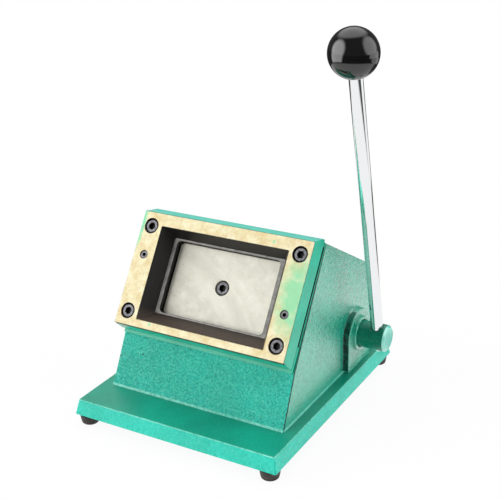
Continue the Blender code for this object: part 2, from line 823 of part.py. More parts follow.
def clevis_outline():
    """Side of the clevis: a wide root on the ram, drawn in to a round tip about the roller's pin."""
    tip = -roller_depth
    root = -ram_back_depth + ram_thickness / 2
    reach = math.hypot(clevis_root, root - tip)
    lean = math.atan2(clevis_root, root - tip) - math.asin(clevis_tip_radius / reach)
    rounded = arc((0, tip), clevis_tip_radius, lean - math.pi, -lean, medium_segments // 2)
    return [(clevis_root, root), (-clevis_root, root)] + rounded


def make_ram(ram, finish):
    """Plate that carries the punch, with an ear for each guide pin and a clevis for the cam roller."""
    front = -ram_front_depth
    back = -ram_back_depth
    plate = extruded(rounded_rectangle(ram_width, ram_height, ram_corner_radius), back, front)
    body = piece("ram", plate, ram, finish["steel"])
    ears = rounded_rectangle(2 * (pin_spread + ram_ear_radius), 2 * ram_ear_radius, ram_ear_radius)
    combine(body, cutter("ram_ears", extruded(ears, back, front), ram), "UNION")
    clevis = placed(extruded(clevis_outline(), -clevis_width / 2, clevis_width / 2), along_x)
    combine(body, cutter("ram_clevis", clevis, ram), "UNION")
    slot_half = cam_width / 2 + roller_side_gap
    slot_end = -roller_depth + roller_radius + clevis_slot_gap
    slot_far = -roller_depth - clevis_tip_radius - cut_overrun
    slot_side = clevis_root + cut_overrun
    slot = rounded_rectangle(2 * slot_side, slot_end - slot_far, ram_corner_radius)
    slot = [(x, y + (slot_end + slot_far) / 2) for x, y in slot]
    combine(body, cutter("roller_slot", placed(extruded(slot, -slot_half, slot_half), along_x), ram))
    reach = clevis_width / 2 + cut_overrun
    pin_hole = placed(plug(roller_pin_radius + running_gap, -reach, reach), along_x)
    combine(body, cutter("roller_pin_hole", pin_hole, ram, (0, 0, -roller_depth)))
    for number, x in enumerate((-pin_spread, pin_spread), 1):
        radius = guide_bush_radius + running_gap
        bore = plug(radius, back - cut_overrun, front + cut_overrun, medium_segments)
        combine(body, cutter(f"guide_bush_bore_{number}", bore, ram, (x, 0, 0)))
    for number, x in enumerate((-punch_dowel_spread, punch_dowel_spread), 1):
        hole = plug(dowel_radius + running_gap, front - punch_dowel_reach - seat_gap, front + cut_overrun)
        combine(body, cutter(f"ram_dowel_hole_{number}", hole, ram, (x, 0, 0)))
    screw_end = punch_face_depth + cap_head_sink + cap_head_height + punch_screw_grip
    hole = plug(cap_screw_radius + running_gap, -screw_end - seat_gap, front + cut_overrun)
    combine(body, cutter("ram_screw_hole", hole, ram))
    return body


def make_roller(ram, roller, finish):
    """Hardened roller on its pin between the clevis's cheeks."""
    half = cam_width / 2
    bore = roller_pin_radius + running_gap
    c = roller_chamfer
    profile = [
        (bore, -half), (roller_radius - c, -half), (roller_radius, c - half), (roller_radius, half - c),
        (roller_radius - c, half), (bore, half),
    ]
    piece("cam_roller", placed(turned(profile, large_segments), along_x), roller, finish["steel"], True)
    side = clevis_width / 2
    head = side + seat_gap
    r = roller_pin_radius
    profile = [
        (0, -side), (r - c, -side), (r, c - side), (r, head), (roller_pin_head_radius, head),
        (roller_pin_head_radius, head + roller_pin_head_thickness), (0, head + roller_pin_head_thickness),
    ]
    pin = placed(turned(profile, small_segments), along_x)
    piece("roller_pin", pin, ram, finish["steel"], True, (0, 0, -roller_depth))


# Guide pins, springs and stops
def make_guides(die, ram, finish):
    """Two pins fixed in the casting that carry the ram, each with a spring, a washer and a nut."""
    front = -seat_depth
    shoulder = -ram_back_depth - guide_bush_flange_thickness - 2 * seat_gap
    washer_front = shoulder - seat_gap
    nut_front = washer_front - washer_thickness - seat_gap
    tail = nut_front - nut_height - pin_thread_tail
    c = pin_chamfer
    r = pin_radius
    t = pin_thread_radius
    pin = [
        (0, front), (r - c, front), (r, front - c), (r, shoulder), (t, shoulder), (t, tail + c),
        (t - c, tail), (0, tail),
    ]
    bore = t + running_gap
    washer = [
        (bore, washer_front), (washer_radius, washer_front),
        (washer_radius, washer_front - washer_thickness), (bore, washer_front - washer_thickness),
    ]
    for number, x in enumerate((-pin_spread, pin_spread), 1):
        place = (x, 0, 0)
        piece(f"guide_pin_{number}", turned(pin, medium_segments), die, finish["steel"], True, place)
        piece(f"stop_washer_{number}", turned(washer, small_segments), die, finish["steel"], True, place)
        piece(f"stop_nut_{number}", nut_solid(nut_front, bore), die, finish["steel"], True, place)
        piece(f"guide_bush_{number}", guide_bush_solid(), ram, finish["bronze"], True, place)
        make_spring(f"return_spring_{number}", die, finish["spring_steel"], place)


def nut_solid(front, bore):
    """Hexagon nut with chamfered faces, behind its front plane."""
    n = small_segments
    c = nut_chamfer
    back = front - nut_height
    face_ring = circle(nut_flats / 2 - c, n)
    rings = [
        level(circle(bore, n), front), level(face_ring, front), level(hexagon(nut_flats, n), front - c),
        level(hexagon(nut_flats, n), back + c), level(face_ring, back), level(circle(bore, n), back),
    ]
    return tube(rings)


def tube(rings):
    """Solid whose rings run round its section and close on the first."""
    bm = bmesh.new()
    loops = [[bm.verts.new(point) for point in ring] for ring in rings]
    for inner, outer in zip(loops, loops[1:] + loops[:1]):
        for i, corner in enumerate(inner):
            j = (i + 1) % len(inner)
            bm.faces.new((corner, inner[j], outer[j], outer[i]))
    bmesh.ops.recalc_face_normals(bm, faces=bm.faces)
    return bm


def guide_bush_solid():
    """Flanged bronze bush pressed into the ram's ear from behind."""
    bore = pin_radius + running_gap
    front = -ram_front_depth - seat_gap
    seat = -ram_back_depth - seat_gap
    back = seat - guide_bush_flange_thickness
    return turned(
        [(bore, front), (guide_bush_radius, front), (guide_bush_radius, seat),
         (guide_bush_flange_radius, seat), (guide_bush_flange_radius, back), (bore, back)],
        medium_segments,
    )


def make_spring(name, die, finish, place):
    """Compression spring about a guide pin, between the casting and the ram's ear."""
    start = -seat_wall_back - seat_gap - spring_wire_radius
    end = -ram_front_depth + seat_gap + spring_wire_radius
    count = round(spring_turns * spring_points_per_turn)
    points = []
    for step in range(count + 1):
        angle = math.tau * step / spring_points_per_turn
        height = start + (end - start) * step / count
        across = spring_coil_radius * math.cos(angle)
        along = spring_coil_radius * math.sin(angle)
        points.append(Vector((across, along, height)))
    apart = spring_points_per_turn // 2
    pairs = [(a, b) for i, a in enumerate(points) for b in points[i + apart:]]
    least = min((a - b).length for a, b in pairs) - 2 * spring_wire_radius
    print(f"{name}: least gap between its turns {least / mm:.2f} mm")
    curve = bpy.data.curves.new(name, "CURVE")
    curve.dimensions = "3D"
    curve.bevel_depth = spring_wire_radius
    curve.bevel_resolution = 1
    curve.use_fill_caps = True
    spline = curve.splines.new("POLY")
    spline.points.add(len(points) - 1)
    for target, point in zip(spline.points, points):
        target.co = (*point, 1.0)
    curve.materials.append(finish)
    spring = bpy.data.objects.new(name, curve)
    bpy.context.collection.objects.link(spring)
    spring.parent = die
    spring.location = place


# Lever
def make_shaft(lever, finish):
    """Cross shaft: chamfered at the lever's end, grooved for its ring at the other, drilled and keyed."""
    r = shaft_radius
    c = shaft_chamfer
    ring_seat = ring_inner_face()
    groove_end = ring_seat - ring_thickness - 2 * running_gap
    left = groove_end - shaft_left_tail
    edge = rod_chamfer
    groove = r - ring_groove_depth
    profile = [
        (0, left), (r - edge, left), (r, left + edge), (r, groove_end), (groove, groove_end),
        (groove, ring_seat), (r, ring_seat), (r, shaft_right_end - c), (r - c, shaft_right_end),
        (0, shaft_right_end),
    ]
    solid = placed(turned(profile, large_segments), along_x)
    shaft = piece("lever_shaft", solid, lever, finish["enamel"], True)
    cross = Matrix.Rotation(lever_lean_angle, 4, "X") @ Matrix.Translation((lever_plane, 0, 0))
    hole = plug(rod_radius + running_gap, -r - cut_overrun, r + cut_overrun, medium_segments)
    combine(shaft, cutter("rod_hole", placed(hole, cross), lever))
    combine(shaft, cutter("shaft_keyway", key_block(r - key_side / 2, r + cut_overrun, running_gap), lever))
    return shaft


def ring_inner_face():
    """Where the groove of the shaft's retaining ring begins, just outside the left bush's flange."""
    return -(pad_face + bush_flange_thickness + 2 * seat_gap)


def key_block(low, high, gap):
    """Block along the shaft at the key's angle, between two distances from the shaft's axis."""
    side = key_side / 2 + gap
    length = key_length / 2 + gap
    outline = [(-side, low), (side, low), (side, high), (-side, high)]
    middle = (cam_hub_length / 2, 0, 0)
    block = placed(extruded(outline, -length, length), along_x)
    return placed(block, Matrix.Translation(middle) @ Matrix.Rotation(key_angle, 4, "X"))


def cam_outline():
    """Cam whose radius grows evenly with its turn, so the roller's travel follows the lever evenly."""
    reach = cam_start_radius + roller_radius
    offset = -shaft_rise
    normal = Vector((-cos_tilt, sin_tilt))
    upward = Vector((sin_tilt, cos_tilt))

    def roller_centre(turn):
        """The roller's middle, as the turned cam sees it."""
        place = normal * (reach + lift_per_radian * turn) + upward * offset
        return Matrix.Rotation(-turn, 2) @ place

    count = round((lever_turn_angle + 2 * cam_lead_angle) / cam_step_angle)
    small = cam_step_angle / count
    outline = []
    for step in range(count + 1):
        turn = -cam_lead_angle + (lever_turn_angle + 2 * cam_lead_angle) * step / count
        centre = roller_centre(turn)
        run = (roller_centre(turn + small) - roller_centre(turn - small)).normalized()
        away = Vector((run.y, -run.x))
        if away.dot(centre) < 0:
            away = -away
        outline.append(centre - away * (roller_radius + running_gap))
    first = outline[0]
    last = outline[-1]
    start = math.atan2(last.y, last.x)
    end = math.atan2(first.y, first.x) - math.tau
    steps = round((start - end) / (2 * cam_step_angle))
    for step in range(1, steps):
        angle = start + (end - start) * step / steps
        share = min(start - angle, cam_fall_angle) / cam_fall_angle
        ease = share * share * (3 - 2 * share)
        radius = last.length + (first.length - last.length) * ease
        outline.append(Vector((radius * math.cos(angle), radius * math.sin(angle))))
    return [tuple(point) for point in outline]


def make_cam(lever, finish):
    """Cam keyed to the shaft, with a hub to one side for its set screw."""
    half = cam_width / 2
    cam = piece("cam", placed(extruded(cam_outline(), -half, half), along_x), lever, finish["steel"], True)
    hub = placed(plug(cam_hub_radius, half / 2, half + cam_hub_length, medium_segments), along_x)
    combine(cam, cutter("cam_hub", hub, lever), "UNION")
    reach = half + cam_hub_length + cut_overrun
    bore = placed(plug(shaft_radius + running_gap, -reach, reach, large_segments), along_x)
    combine(cam, cutter("cam_bore", bore, lever))
    combine(cam, cutter("cam_keyway", key_block(0, shaft_radius + key_side / 2, running_gap), lever))
    key = key_block(shaft_radius - key_side / 2 + running_gap, shaft_radius + key_side / 2 - running_gap, 0)
    piece("cam_key", key, lever, finish["steel"])
    middle = half + cam_hub_length / 2
    outward = Matrix.Translation((middle, 0, 0)) @ Matrix.Rotation(set_screw_angle, 4, "X")
    top = cam_hub_radius - running_gap
    hole = plug(set_screw_radius + running_gap, shaft_radius - key_side / 2, top + cut_overrun)
    combine(cam, cutter("set_screw_hole", placed(hole, outward), lever))
    n = small_segments
    c = running_gap
    rings = [
        level(hexagon(set_screw_flats, n), top - set_screw_length / 2),
        level(hexagon(set_screw_flats, n), top),
        level(circle(set_screw_radius - c, n), top),
        level(circle(set_screw_radius, n), top - c),
        level(circle(set_screw_radius, n), top - set_screw_length),
    ]
    piece("cam_set_screw", placed(skinned(rings), outward), lever, finish["black_oxide"], True)


def make_bushes(casting, finish):
    """Flanged bushes in the casting's two bores, the flange outside the pad."""
    bore = shaft_radius + running_gap
    barrel = bush_radius()
    flange = pad_face + seat_gap
    end = flange + bush_flange_thickness
    inner = half_width(shaft_height) - body_wall - boss_depth + bush_inset
    profile = [
        (bore, end), (bush_flange_radius, end), (bush_flange_radius, flange), (barrel, flange),
        (barrel, inner), (bore, inner),
    ]
    for side, word in ((1, "right"), (-1, "left")):
        shape = turned([(radius, side * x) for radius, x in profile], large_segments)
        place = (0, shaft_setback, shaft_height)
        piece(f"shaft_bush_{word}", placed(shape, along_x), casting, finish["enamel"], True, place)


def make_retaining_ring(lever, finish):
    """Open spring ring in the shaft's groove."""
    inner = shaft_radius - ring_groove_depth + running_gap
    outer = ring_radius
    start = ring_gape_angle / 2
    end = math.tau - start
    outline = arc((0, 0), outer, start, end, medium_segments)
    outline += arc((0, 0), inner, end, start, medium_segments)
    face = ring_inner_face() - running_gap
    ring = placed(extruded(outline, face - ring_thickness, face), along_x)
    piece("retaining_ring", ring, lever, finish["spring_steel"])


def make_rod(arm, finish):
    """Polished rod through the shaft's cross hole."""
    foot = -shaft_radius - rod_tail
    top = knob_reach - knob_flat_height() + knob_socket_depth - seat_gap
    r = rod_radius
    c = rod_chamfer
    profile = [(0, foot), (r - c, foot), (r, foot + c), (r, top - c), (r - c, top), (0, top)]
    piece("lever_rod", turned(profile, medium_segments), arm, finish["chrome"], True)


def knob_flat_height():
    """Distance from the knob's middle to the flat that faces the rod."""
    return math.sqrt(knob_radius ** 2 - knob_flat_radius ** 2)


def make_knob(arm, finish):
    """Ball knob with a flat and a socket for the rod."""
    flat = knob_flat_height()
    socket = rod_radius + running_gap
    low = math.atan2(-flat, knob_flat_radius)
    ball = arc((0, 0), knob_radius, low, math.pi / 2, knob_steps)
    ball[-1] = (0, knob_radius)
    deep = knob_socket_depth - flat
    profile = [(socket, -flat)] + ball + [(0, deep), (socket, deep)]
    bm = turned(profile, large_segments)
    piece("ball_knob", bm, arm, finish["phenolic"], True, (0, 0, knob_reach))


def clear_scene():
    """Removes whatever the file starts with."""
    for thing in list(bpy.data.objects):
        bpy.data.objects.remove(thing)


def main():
    """Builds the whole cutter."""
    clear_scene()
    finish = make_materials()
    casting = frame("casting_frame", location=(plan_shift, 0, 0))
    die = frame("die_frame", casting, (0, -face_setback, face_height), math.pi / 2 - face_tilt_angle)
    ram = frame("ram_frame", die)
    roller = frame("roller_axis", ram, (0, 0, -roller_depth))
    lever = frame("lever_axis", casting, (0, shaft_setback, shaft_height))
    arm = frame("lever_arm", lever, (lever_plane, 0, 0), lever_lean_angle)
    make_base(casting, finish)
    make_feet(casting, finish)
    make_body(casting, die, finish)
    make_die_block(die, finish)
    make_guide_plate(die, finish)
    make_die_fasteners(die, finish)
    make_punch(ram, finish)
    make_ram(ram, finish)
    make_roller(ram, roller, finish)
    make_guides(die, ram, finish)
    make_bushes(casting, finish)
    make_shaft(lever, finish)
    make_cam(lever, finish)
    make_retaining_ring(lever, finish)
    make_rod(arm, finish)
    make_knob(arm, finish)


main()
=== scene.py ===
# %% [markdown]
# A hand-lever card cutter, dressed for its portrait. The solids that the machine was designed with are loaded
# first and never moved. Each visible piece is then modelled again with finer edges and real finishes, in the
# place of the solid that it stands for, and rides on the same body, so the lever and the punch still move.

# %% Load the frame
import json
import math

import bmesh
import bpy
from mathutils import Matrix, Vector

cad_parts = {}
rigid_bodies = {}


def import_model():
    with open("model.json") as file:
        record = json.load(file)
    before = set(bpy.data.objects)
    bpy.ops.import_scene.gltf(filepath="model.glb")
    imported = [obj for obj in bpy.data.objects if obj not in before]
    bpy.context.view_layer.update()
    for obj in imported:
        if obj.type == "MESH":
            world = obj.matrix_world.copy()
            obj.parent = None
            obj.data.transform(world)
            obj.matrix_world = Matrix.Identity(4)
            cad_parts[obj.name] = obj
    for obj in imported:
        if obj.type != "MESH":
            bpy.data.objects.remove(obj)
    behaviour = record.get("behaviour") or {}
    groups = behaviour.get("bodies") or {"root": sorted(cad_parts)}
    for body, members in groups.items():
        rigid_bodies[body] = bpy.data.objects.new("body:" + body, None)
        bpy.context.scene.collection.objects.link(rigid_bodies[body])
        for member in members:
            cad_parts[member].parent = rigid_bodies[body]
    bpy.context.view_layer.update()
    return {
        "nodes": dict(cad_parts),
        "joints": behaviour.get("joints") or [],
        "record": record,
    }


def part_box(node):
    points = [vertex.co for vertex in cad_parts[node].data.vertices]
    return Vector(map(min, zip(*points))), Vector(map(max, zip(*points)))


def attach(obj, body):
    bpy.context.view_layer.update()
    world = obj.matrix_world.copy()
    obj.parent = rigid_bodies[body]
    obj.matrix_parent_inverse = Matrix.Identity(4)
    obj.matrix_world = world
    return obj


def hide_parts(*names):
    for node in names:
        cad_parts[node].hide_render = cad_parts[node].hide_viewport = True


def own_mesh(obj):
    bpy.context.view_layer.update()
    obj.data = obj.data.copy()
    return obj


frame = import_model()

# %% [markdown]
# Everything is measured from a few places. The joints say where the lever's shaft turns and which way the ram
# slides, and that slide points straight out of the sloping die face, so it gives the face's tilt as well.

# %% Places that the pieces share
mm = 0.001
joints = {joint["name"]: joint for joint in frame["joints"]}
shaft_place = Vector(joints["lever_turn"]["pos_m"])
outward = Vector(joints["ram_slide"]["axis"])
face_tilt = math.asin(outward.z)
middle = shaft_place.x
base_low, base_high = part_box("base_plate")
body_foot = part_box("body_casting")[0].z
face_centre = Vector((middle, -39.4 * mm, 105.0 * mm))
face_place = Matrix.Translation(face_centre) @ Matrix.Rotation(math.pi / 2 - face_tilt, 4, "X")
gap = 0.15 * mm
overrun = 4.0 * mm
near = 0.02 * mm
weld = 0.001 * mm
print("face tilt:", round(math.degrees(face_tilt), 2), "degrees")

# %% [markdown]
# Most pieces here began as a block that a saw or a file cut down, so they are modelled that way: a cube is
# added at its size, planes slice off what slopes, and the edges that are left are bevelled. A bevel is never
# optional, because a real edge always catches a thin line of light.

# %% Tools for blocks
def work_on(thing):
    """Makes one object the only one that the next operators touch."""
    if bpy.context.object and bpy.context.object.mode != "OBJECT":
        bpy.ops.object.mode_set(mode="OBJECT")
    bpy.ops.object.select_all(action="DESELECT")
    thing.select_set(True)
    bpy.context.view_layer.objects.active = thing


def newest(name):
    """Names the object that an operator has just added, and fixes its place in its mesh."""
    thing = bpy.context.object
    thing.name = name
    thing.data.name = name
    bpy.ops.object.transform_apply(location=True, rotation=True, scale=True)
    return thing


def block(name, low, high):
    """A cube from one corner to the other."""
    bpy.ops.object.select_all(action="DESELECT")
    low = Vector(low)
    high = Vector(high)
    bpy.ops.mesh.primitive_cube_add(size=1, location=(low + high) / 2, scale=high - low)
    return newest(name)


def edit(thing, action="SELECT"):
    """Goes into edit mode on one object, with everything in it selected or nothing."""
    work_on(thing)
    bpy.ops.object.mode_set(mode="EDIT")
    bpy.ops.mesh.select_all(action=action)


def slice_off(thing, point, normal, away=True):
    """Cuts away what lies beyond a plane and closes the cut, or else only leaves a ring of edges there."""
    edit(thing)
    bpy.ops.mesh.bisect(plane_co=point, plane_no=Vector(normal).normalized(), use_fill=away, clear_outer=away)
    bpy.ops.object.mode_set(mode="OBJECT")


def join_flat(thing, reach, angle):
    """Joins points closer than this, and then faces that meet at less than an angle."""
    edit(thing)
    bpy.ops.mesh.remove_doubles(threshold=reach)
    bpy.ops.mesh.dissolve_limited(angle_limit=math.radians(angle))
    bpy.ops.object.mode_set(mode="OBJECT")


def select(thing, kind, test):
    """Goes into edit mode with just those edges (by both ends) or faces (by middle and normal) that pass."""
    edit(thing, "DESELECT")
    bpy.ops.mesh.select_mode(type=kind)
    mesh = bmesh.from_edit_mesh(thing.data)
    if kind == "EDGE":
        for edge in mesh.edges:
            edge.select_set(test(edge.verts[0].co, edge.verts[1].co))
    else:
        for face in mesh.faces:
            face.select_set(test(face.calc_center_median(), face.normal))
    bmesh.update_edit_mesh(thing.data)


def bevel_edges(thing, radius, segments, test):
    """Rounds the chosen edges."""
    select(thing, "EDGE", test)
    bpy.ops.mesh.bevel(offset=radius, segments=segments, affect="EDGES")
    bpy.ops.object.mode_set(mode="OBJECT")


def modify(thing, kind, **settings):
    """Gives a piece a modifier and applies it."""
    work_on(thing)
    step = thing.modifiers.new(kind, kind)
    for name, value in settings.items():
        setattr(step, name, value)
    bpy.ops.object.modifier_apply(modifier=step.name)


def bevel_sharp(thing, radius, segments):
    """Rounds every edge where two faces meet at more than a slight angle."""
    slight = math.radians(25)
    modify(thing, "BEVEL", width=radius, segments=segments, limit_method="ANGLE", angle_limit=slight)


def upright(a, b):
    """True for an edge that runs along Z."""
    return abs(a.z - b.z) > max(abs(a.x - b.x), abs(a.y - b.y))


def combine(thing, tool, operation="DIFFERENCE"):
    """Cuts a tool out of a piece, or adds it on, and throws the tool away."""
    modify(thing, "BOOLEAN", operation=operation, solver="EXACT", object=tool)
    bpy.data.objects.remove(tool)


# %% [markdown]
# The other half of the machine came off a lathe. The section of such a piece is drawn by pulling one vertex
# from point to point, and then spun once round the axis. All of them are spun about Z and laid in place
# after.

# %% Tools for turned pieces
along_x = Matrix(((0, 0, 1, 0), (1, 0, 0, 0), (0, 1, 0, 0), (0, 0, 0, 1)))


def turned(name, section, segments=96):
    """Spins a section of (radius, height) points about Z; it starts and ends on the axis, or is closed."""
    bpy.ops.object.select_all(action="DESELECT")
    bpy.ops.mesh.primitive_plane_add(size=1 * mm)
    thing = newest(name)
    bpy.ops.object.mode_set(mode="EDIT")
    bpy.ops.mesh.select_mode(type="VERT")
    bpy.ops.mesh.select_all(action="SELECT")
    bpy.ops.mesh.merge(type="CENTER")
    radius, height = section[0]
    bpy.ops.transform.translate(value=(radius, 0, height))
    closed = section if section[0][0] == section[-1][0] == 0 else section + section[:1]
    for (r0, z0), (r1, z1) in zip(closed, closed[1:]):
        bpy.ops.mesh.extrude_vertices_move(TRANSFORM_OT_translate={"value": (r1 - r0, 0, z1 - z0)})
    bpy.ops.mesh.select_all(action="SELECT")
    bpy.ops.mesh.remove_doubles(threshold=weld)
    bpy.ops.mesh.spin(steps=segments, angle=math.tau, center=(0, 0, 0), axis=(0, 0, 1))
    bpy.ops.mesh.select_all(action="SELECT")
    bpy.ops.mesh.remove_doubles(threshold=weld)
    bpy.ops.mesh.dissolve_degenerate(threshold=weld)
    bpy.ops.mesh.normals_make_consistent(inside=False)
    bpy.ops.object.mode_set(mode="OBJECT")
    return thing


def rounded(points, radius, steps=4):
    """The section with each of its corners off the axis rounded."""
    result = []
    count = len(points)
    for i, point in enumerate(points):
        here = Vector(point)
        before = Vector(points[i - 1]) - here
        after = Vector(points[(i + 1) % count]) - here
        reach = min(radius, before.length * 0.45, after.length * 0.45)
        if here.x < gap or reach < near:
            result.append(point)
            continue
        first = here + before.normalized() * reach
        last = here + after.normalized() * reach
        for step in range(steps + 1):
            share = step / steps
            curve = first * (1 - share) ** 2 + here * 2 * share * (1 - share) + last * share ** 2
            result.append((curve.x, curve.y))
    return result


def rod(name, radius, low, high, segments=64):
    """A plain round bar along Z, used as a drill or a boss."""
    bpy.ops.object.select_all(action="DESELECT")
    bpy.ops.mesh.primitive_cylinder_add(
        vertices=segments, radius=radius, depth=high - low, location=(0, 0, (low + high) / 2)
    )
    return newest(name)


def lay(thing, matrix):
    """Turns and moves a piece to its place, and fixes that place in its mesh."""
    work_on(thing)
    thing.matrix_world = matrix
    bpy.ops.object.transform_apply(location=True, rotation=True, scale=True)
    return thing


def copied(thing, name, matrix=Matrix.Identity(4)):
    """A copy with its own mesh, laid in another place."""
    twin = thing.copy()
    twin.data = thing.data.copy()
    twin.name = name
    twin.data.name = name
    bpy.context.collection.objects.link(twin)
    return lay(twin, matrix)


def about(x, y, z):
    """A move, as a matrix, from lengths."""
    return Matrix.Translation((x, y, z))


def drill(thing, place, radius, low, high, segments=64, operation="DIFFERENCE"):
    """Bores a round hole along Z at one place, or adds a boss there."""
    combine(thing, lay(rod("bore", radius, low, high, segments), about(*place)), operation)

def smooth(thing, angle=32):
    """Shades a piece smooth but for its real edges, and keeps its large faces truly flat."""
    work_on(thing)
    bpy.ops.object.shade_smooth_by_angle(angle=math.radians(angle))
    modify(thing, "WEIGHTED_NORMAL", keep_sharp=True)


# %% [markdown]
# A finish is built from nodes. One small function adds any node, sets its fields and fills its inputs with
# numbers, colours or other nodes' outputs, so that each material reads from its texture down to its shader.

# %% Tools for finishes
def linear(code):
    """A colour as Blender wants it, from the hex code that a paint chart or a screen shows."""
    parts = [int(code[i:i + 2], 16) / 255 for i in (1, 3, 5)]
    return tuple(p / 12.92 if p < 0.04045 else ((p + 0.055) / 1.055) ** 2.4 for p in parts) + (1.0,)


def fill(node, *values, **named):
    """Fills a node's inputs, in their order or by name, with numbers, hex colours or other nodes' outputs."""
    pairs = list(zip([socket for socket in node.inputs if socket.enabled], values))
    pairs += [(node.inputs[name.replace("_", " ")], value) for name, value in named.items()]
    for socket, value in pairs:
        if isinstance(value, bpy.types.NodeSocket):
            node.id_data.links.new(value, socket)
        else:
            socket.default_value = linear(value) if isinstance(value, str) else value


def add(tree, kind, *values, **named):
    """Adds a node, sets its fields (small letters), fills its inputs and gives its first output."""
    node = tree.nodes.new("ShaderNode" + kind)
    for name in filter(str.islower, list(named)):
        setattr(node, name, named.pop(name))
    fill(node, *values, **named)
    return next((socket for socket in node.outputs if socket.enabled), None)


def start(name, roughness, metallic=0.0, **sockets):
    """A new material, with the values that are the same all over it on its shader."""
    material = bpy.data.materials.new(name)
    material.use_nodes = True
    tree = material.node_tree
    shader = tree.nodes["Principled BSDF"]
    fill(shader, Roughness=roughness, Metallic=metallic, **sockets)
    return material, tree, shader, add(tree, "TexCoord").node.outputs["Object"]


def per(length):
    """The scale at which a texture repeats about once in this length."""
    return 1 / length


def tinted(tree, pattern, low, high, first, second, most=1.0):
    """One colour laid over another, more of it as a pattern goes from one value to the other."""
    share = add(tree, "MapRange", pattern, low, high, 0.0, most)
    return add(tree, "Mix", share, first, second, data_type="RGBA")


# %% [markdown]
# The green is a brushed and sprayed alkyd enamel over rough grey iron. The eye reads the iron through it:
# sand from the mould leaves a pebbled skin about a millimetre across, and the thick paint rounds it off and
# pulls into wider waves. The skin is strong on the faces that were left as cast and weak on the ones that
# were filed.

# %% Green enamel
pit_colour = "#06302A"
# Pale green painted on the pebbles' tops as highlight.
painted_glint_colour = "#8FEBD9"
pit_spacing = 9 * mm


def casting_pits(tree, place, share):
    """A few ragged little holes, each in a cell of its own."""
    from_middle = add(tree, "TexVoronoi", place, per(pit_spacing))
    rare = add(tree, "SeparateColor", from_middle.node.outputs["Color"])
    chosen = add(tree, "Math", rare, 1 - share, operation="GREATER_THAN")
    ragged = add(tree, "TexNoise", place, per(0.9 * mm))
    reach = add(tree, "Math", ragged, 0.07, from_middle, operation="MULTIPLY_ADD")
    return add(tree, "Math", add(tree, "MapRange", reach, 0.12, 0.08), chosen, operation="MULTIPLY")


def enamel(name, colours, pebble, grain, wave, roughness, pits=0.0, coat=0.0):
    """Green enamel over iron, from its three greens and the height and width of its pebbles; the pebbles are
    also coloured as painted shade in their hollows and as painted highlight on their tops.
    """
    full, thick, shaded = colours
    material, tree, shader, place = start(
        name, roughness, IOR=1.5, Coat_Weight=coat, Coat_Roughness=roughness, Coat_IOR=2.2,
    )
    colour = tinted(tree, add(tree, "TexNoise", place, per(26 * mm), 3.0), 0.35, 0.7, full, thick)
    grit = add(tree, "TexNoise", place, per(grain), 3.0, 0.6)
    depth = min(pebble / mm, 1.0)
    # Painted shade: the pebbles' hollows take the shaded green. Painted highlight: their tops take a pale
    # glint.
    colour = tinted(tree, grit, 0.53, 0.33, colour, shaded, depth * 0.7)
    colour = tinted(tree, grit, 0.50, 0.70, colour, painted_glint_colour, depth * 0.45)
    if pits:
        colour = add(tree, "Mix", casting_pits(tree, place, pits), colour, pit_colour, data_type="RGBA")
    small = add(tree, "Bump", Height=grit, Distance=pebble)
    waves = add(tree, "TexNoise", place, per(5 * mm), 1.0)
    large = add(tree, "Bump", Height=waves, Distance=wave, Normal=small)
    fill(shader, Base_Color=colour, Normal=large, Coat_Normal=large)
    return material


# The sets of greens are copies of one paint, lit and shaded, as painted light and painted shade: the set for
# the front faces and the base's sides is painted lighter and bluer, the sets for the base's top and for the
# shaft are painted darker, and the palest sets are painted highlight on the die's top strip, the shaft's end,
# the base's top bevel and the bead round the body's foot.
wall_greens = ("#12C2A0", "#0DB191", "#08806A")
lit_cast_greens = ("#17DCC4", "#12CBB3", "#0A8979")
shaded_plate_greens = ("#0CA68A", "#0A957B", "#077A66")
shaded_shaft_greens = ("#0F9479", "#0A7A64", "#06503F")
highlight_greens = ("#7FE3CF", "#43CDB4", "#10A58B")
lit_greens = ("#86F2DF", "#6CE8D2", "#33BBA3")
rough_enamel = enamel("enamel_on_rough_cast_iron", lit_cast_greens, 1.8 * mm, 1.25 * mm, 0.40 * mm, 0.24, 0.12)
skirt_enamel = enamel("enamel_on_draft_faces", lit_cast_greens, 0.35 * mm, 1.6 * mm, 0.30 * mm, 0.26, 0.12)
filed_enamel = enamel("enamel_on_filed_iron", wall_greens, 0.62 * mm, 1.9 * mm, 0.20 * mm, 0.10, 0.14, 1.0)
shaded_plate_enamel = enamel("enamel_on_machined_plate_painted_shade", shaded_plate_greens, 0.20 * mm, 1.0 * mm, 0.16 * mm, 0.26, 0.05)
smooth_enamel = enamel("enamel_on_turned_steel", wall_greens, 0.10 * mm, 1.2 * mm, 0.10 * mm, 0.18, 0.0, 1.0)
sprayed_enamel = enamel("enamel_sprayed_on_tool_steel", wall_greens, 0.10 * mm, 1.2 * mm, 0.12 * mm, 0.24)
lit_top_enamel = enamel("enamel_painted_lit_on_die_top", lit_greens, 0.12 * mm, 1.2 * mm, 0.12 * mm, 0.24)
shaded_shaft_enamel = enamel("enamel_painted_shade_on_shaft", shaded_shaft_greens, 0.16 * mm, 1.5 * mm, 0.12 * mm, 0.24)
highlight_edge_enamel = enamel("enamel_painted_highlight_on_edges", highlight_greens, 0.9 * mm, 2.2 * mm, 0.2 * mm, 0.3)
print("enamels:", rough_enamel.name, filed_enamel.name, shaded_plate_enamel.name, smooth_enamel.name)

# %% [markdown]
# The base is a thick cast plate whose sides lean in a little towards the top, so that it leaves the mould
# cleanly. A cube with its top face scaled down gives that draft in one step.

# %% Base plate
base_draft = 2.5 * mm
lug_half_span = 56.5 * mm
lug_front = 43.0 * mm
lug_rear = 72.5 * mm
counterbore_radius = 5.65 * mm
counterbore_depth = 7.1 * mm
screw_head_radius = 5.0 * mm
screw_head_height = 6.0 * mm
screw_radius = 3.0 * mm
screw_bore = screw_radius + 0.3 * mm
lug_places = [
    Vector((middle + x, y, 0)) for y in (-lug_front, lug_rear) for x in (-lug_half_span, lug_half_span)
]

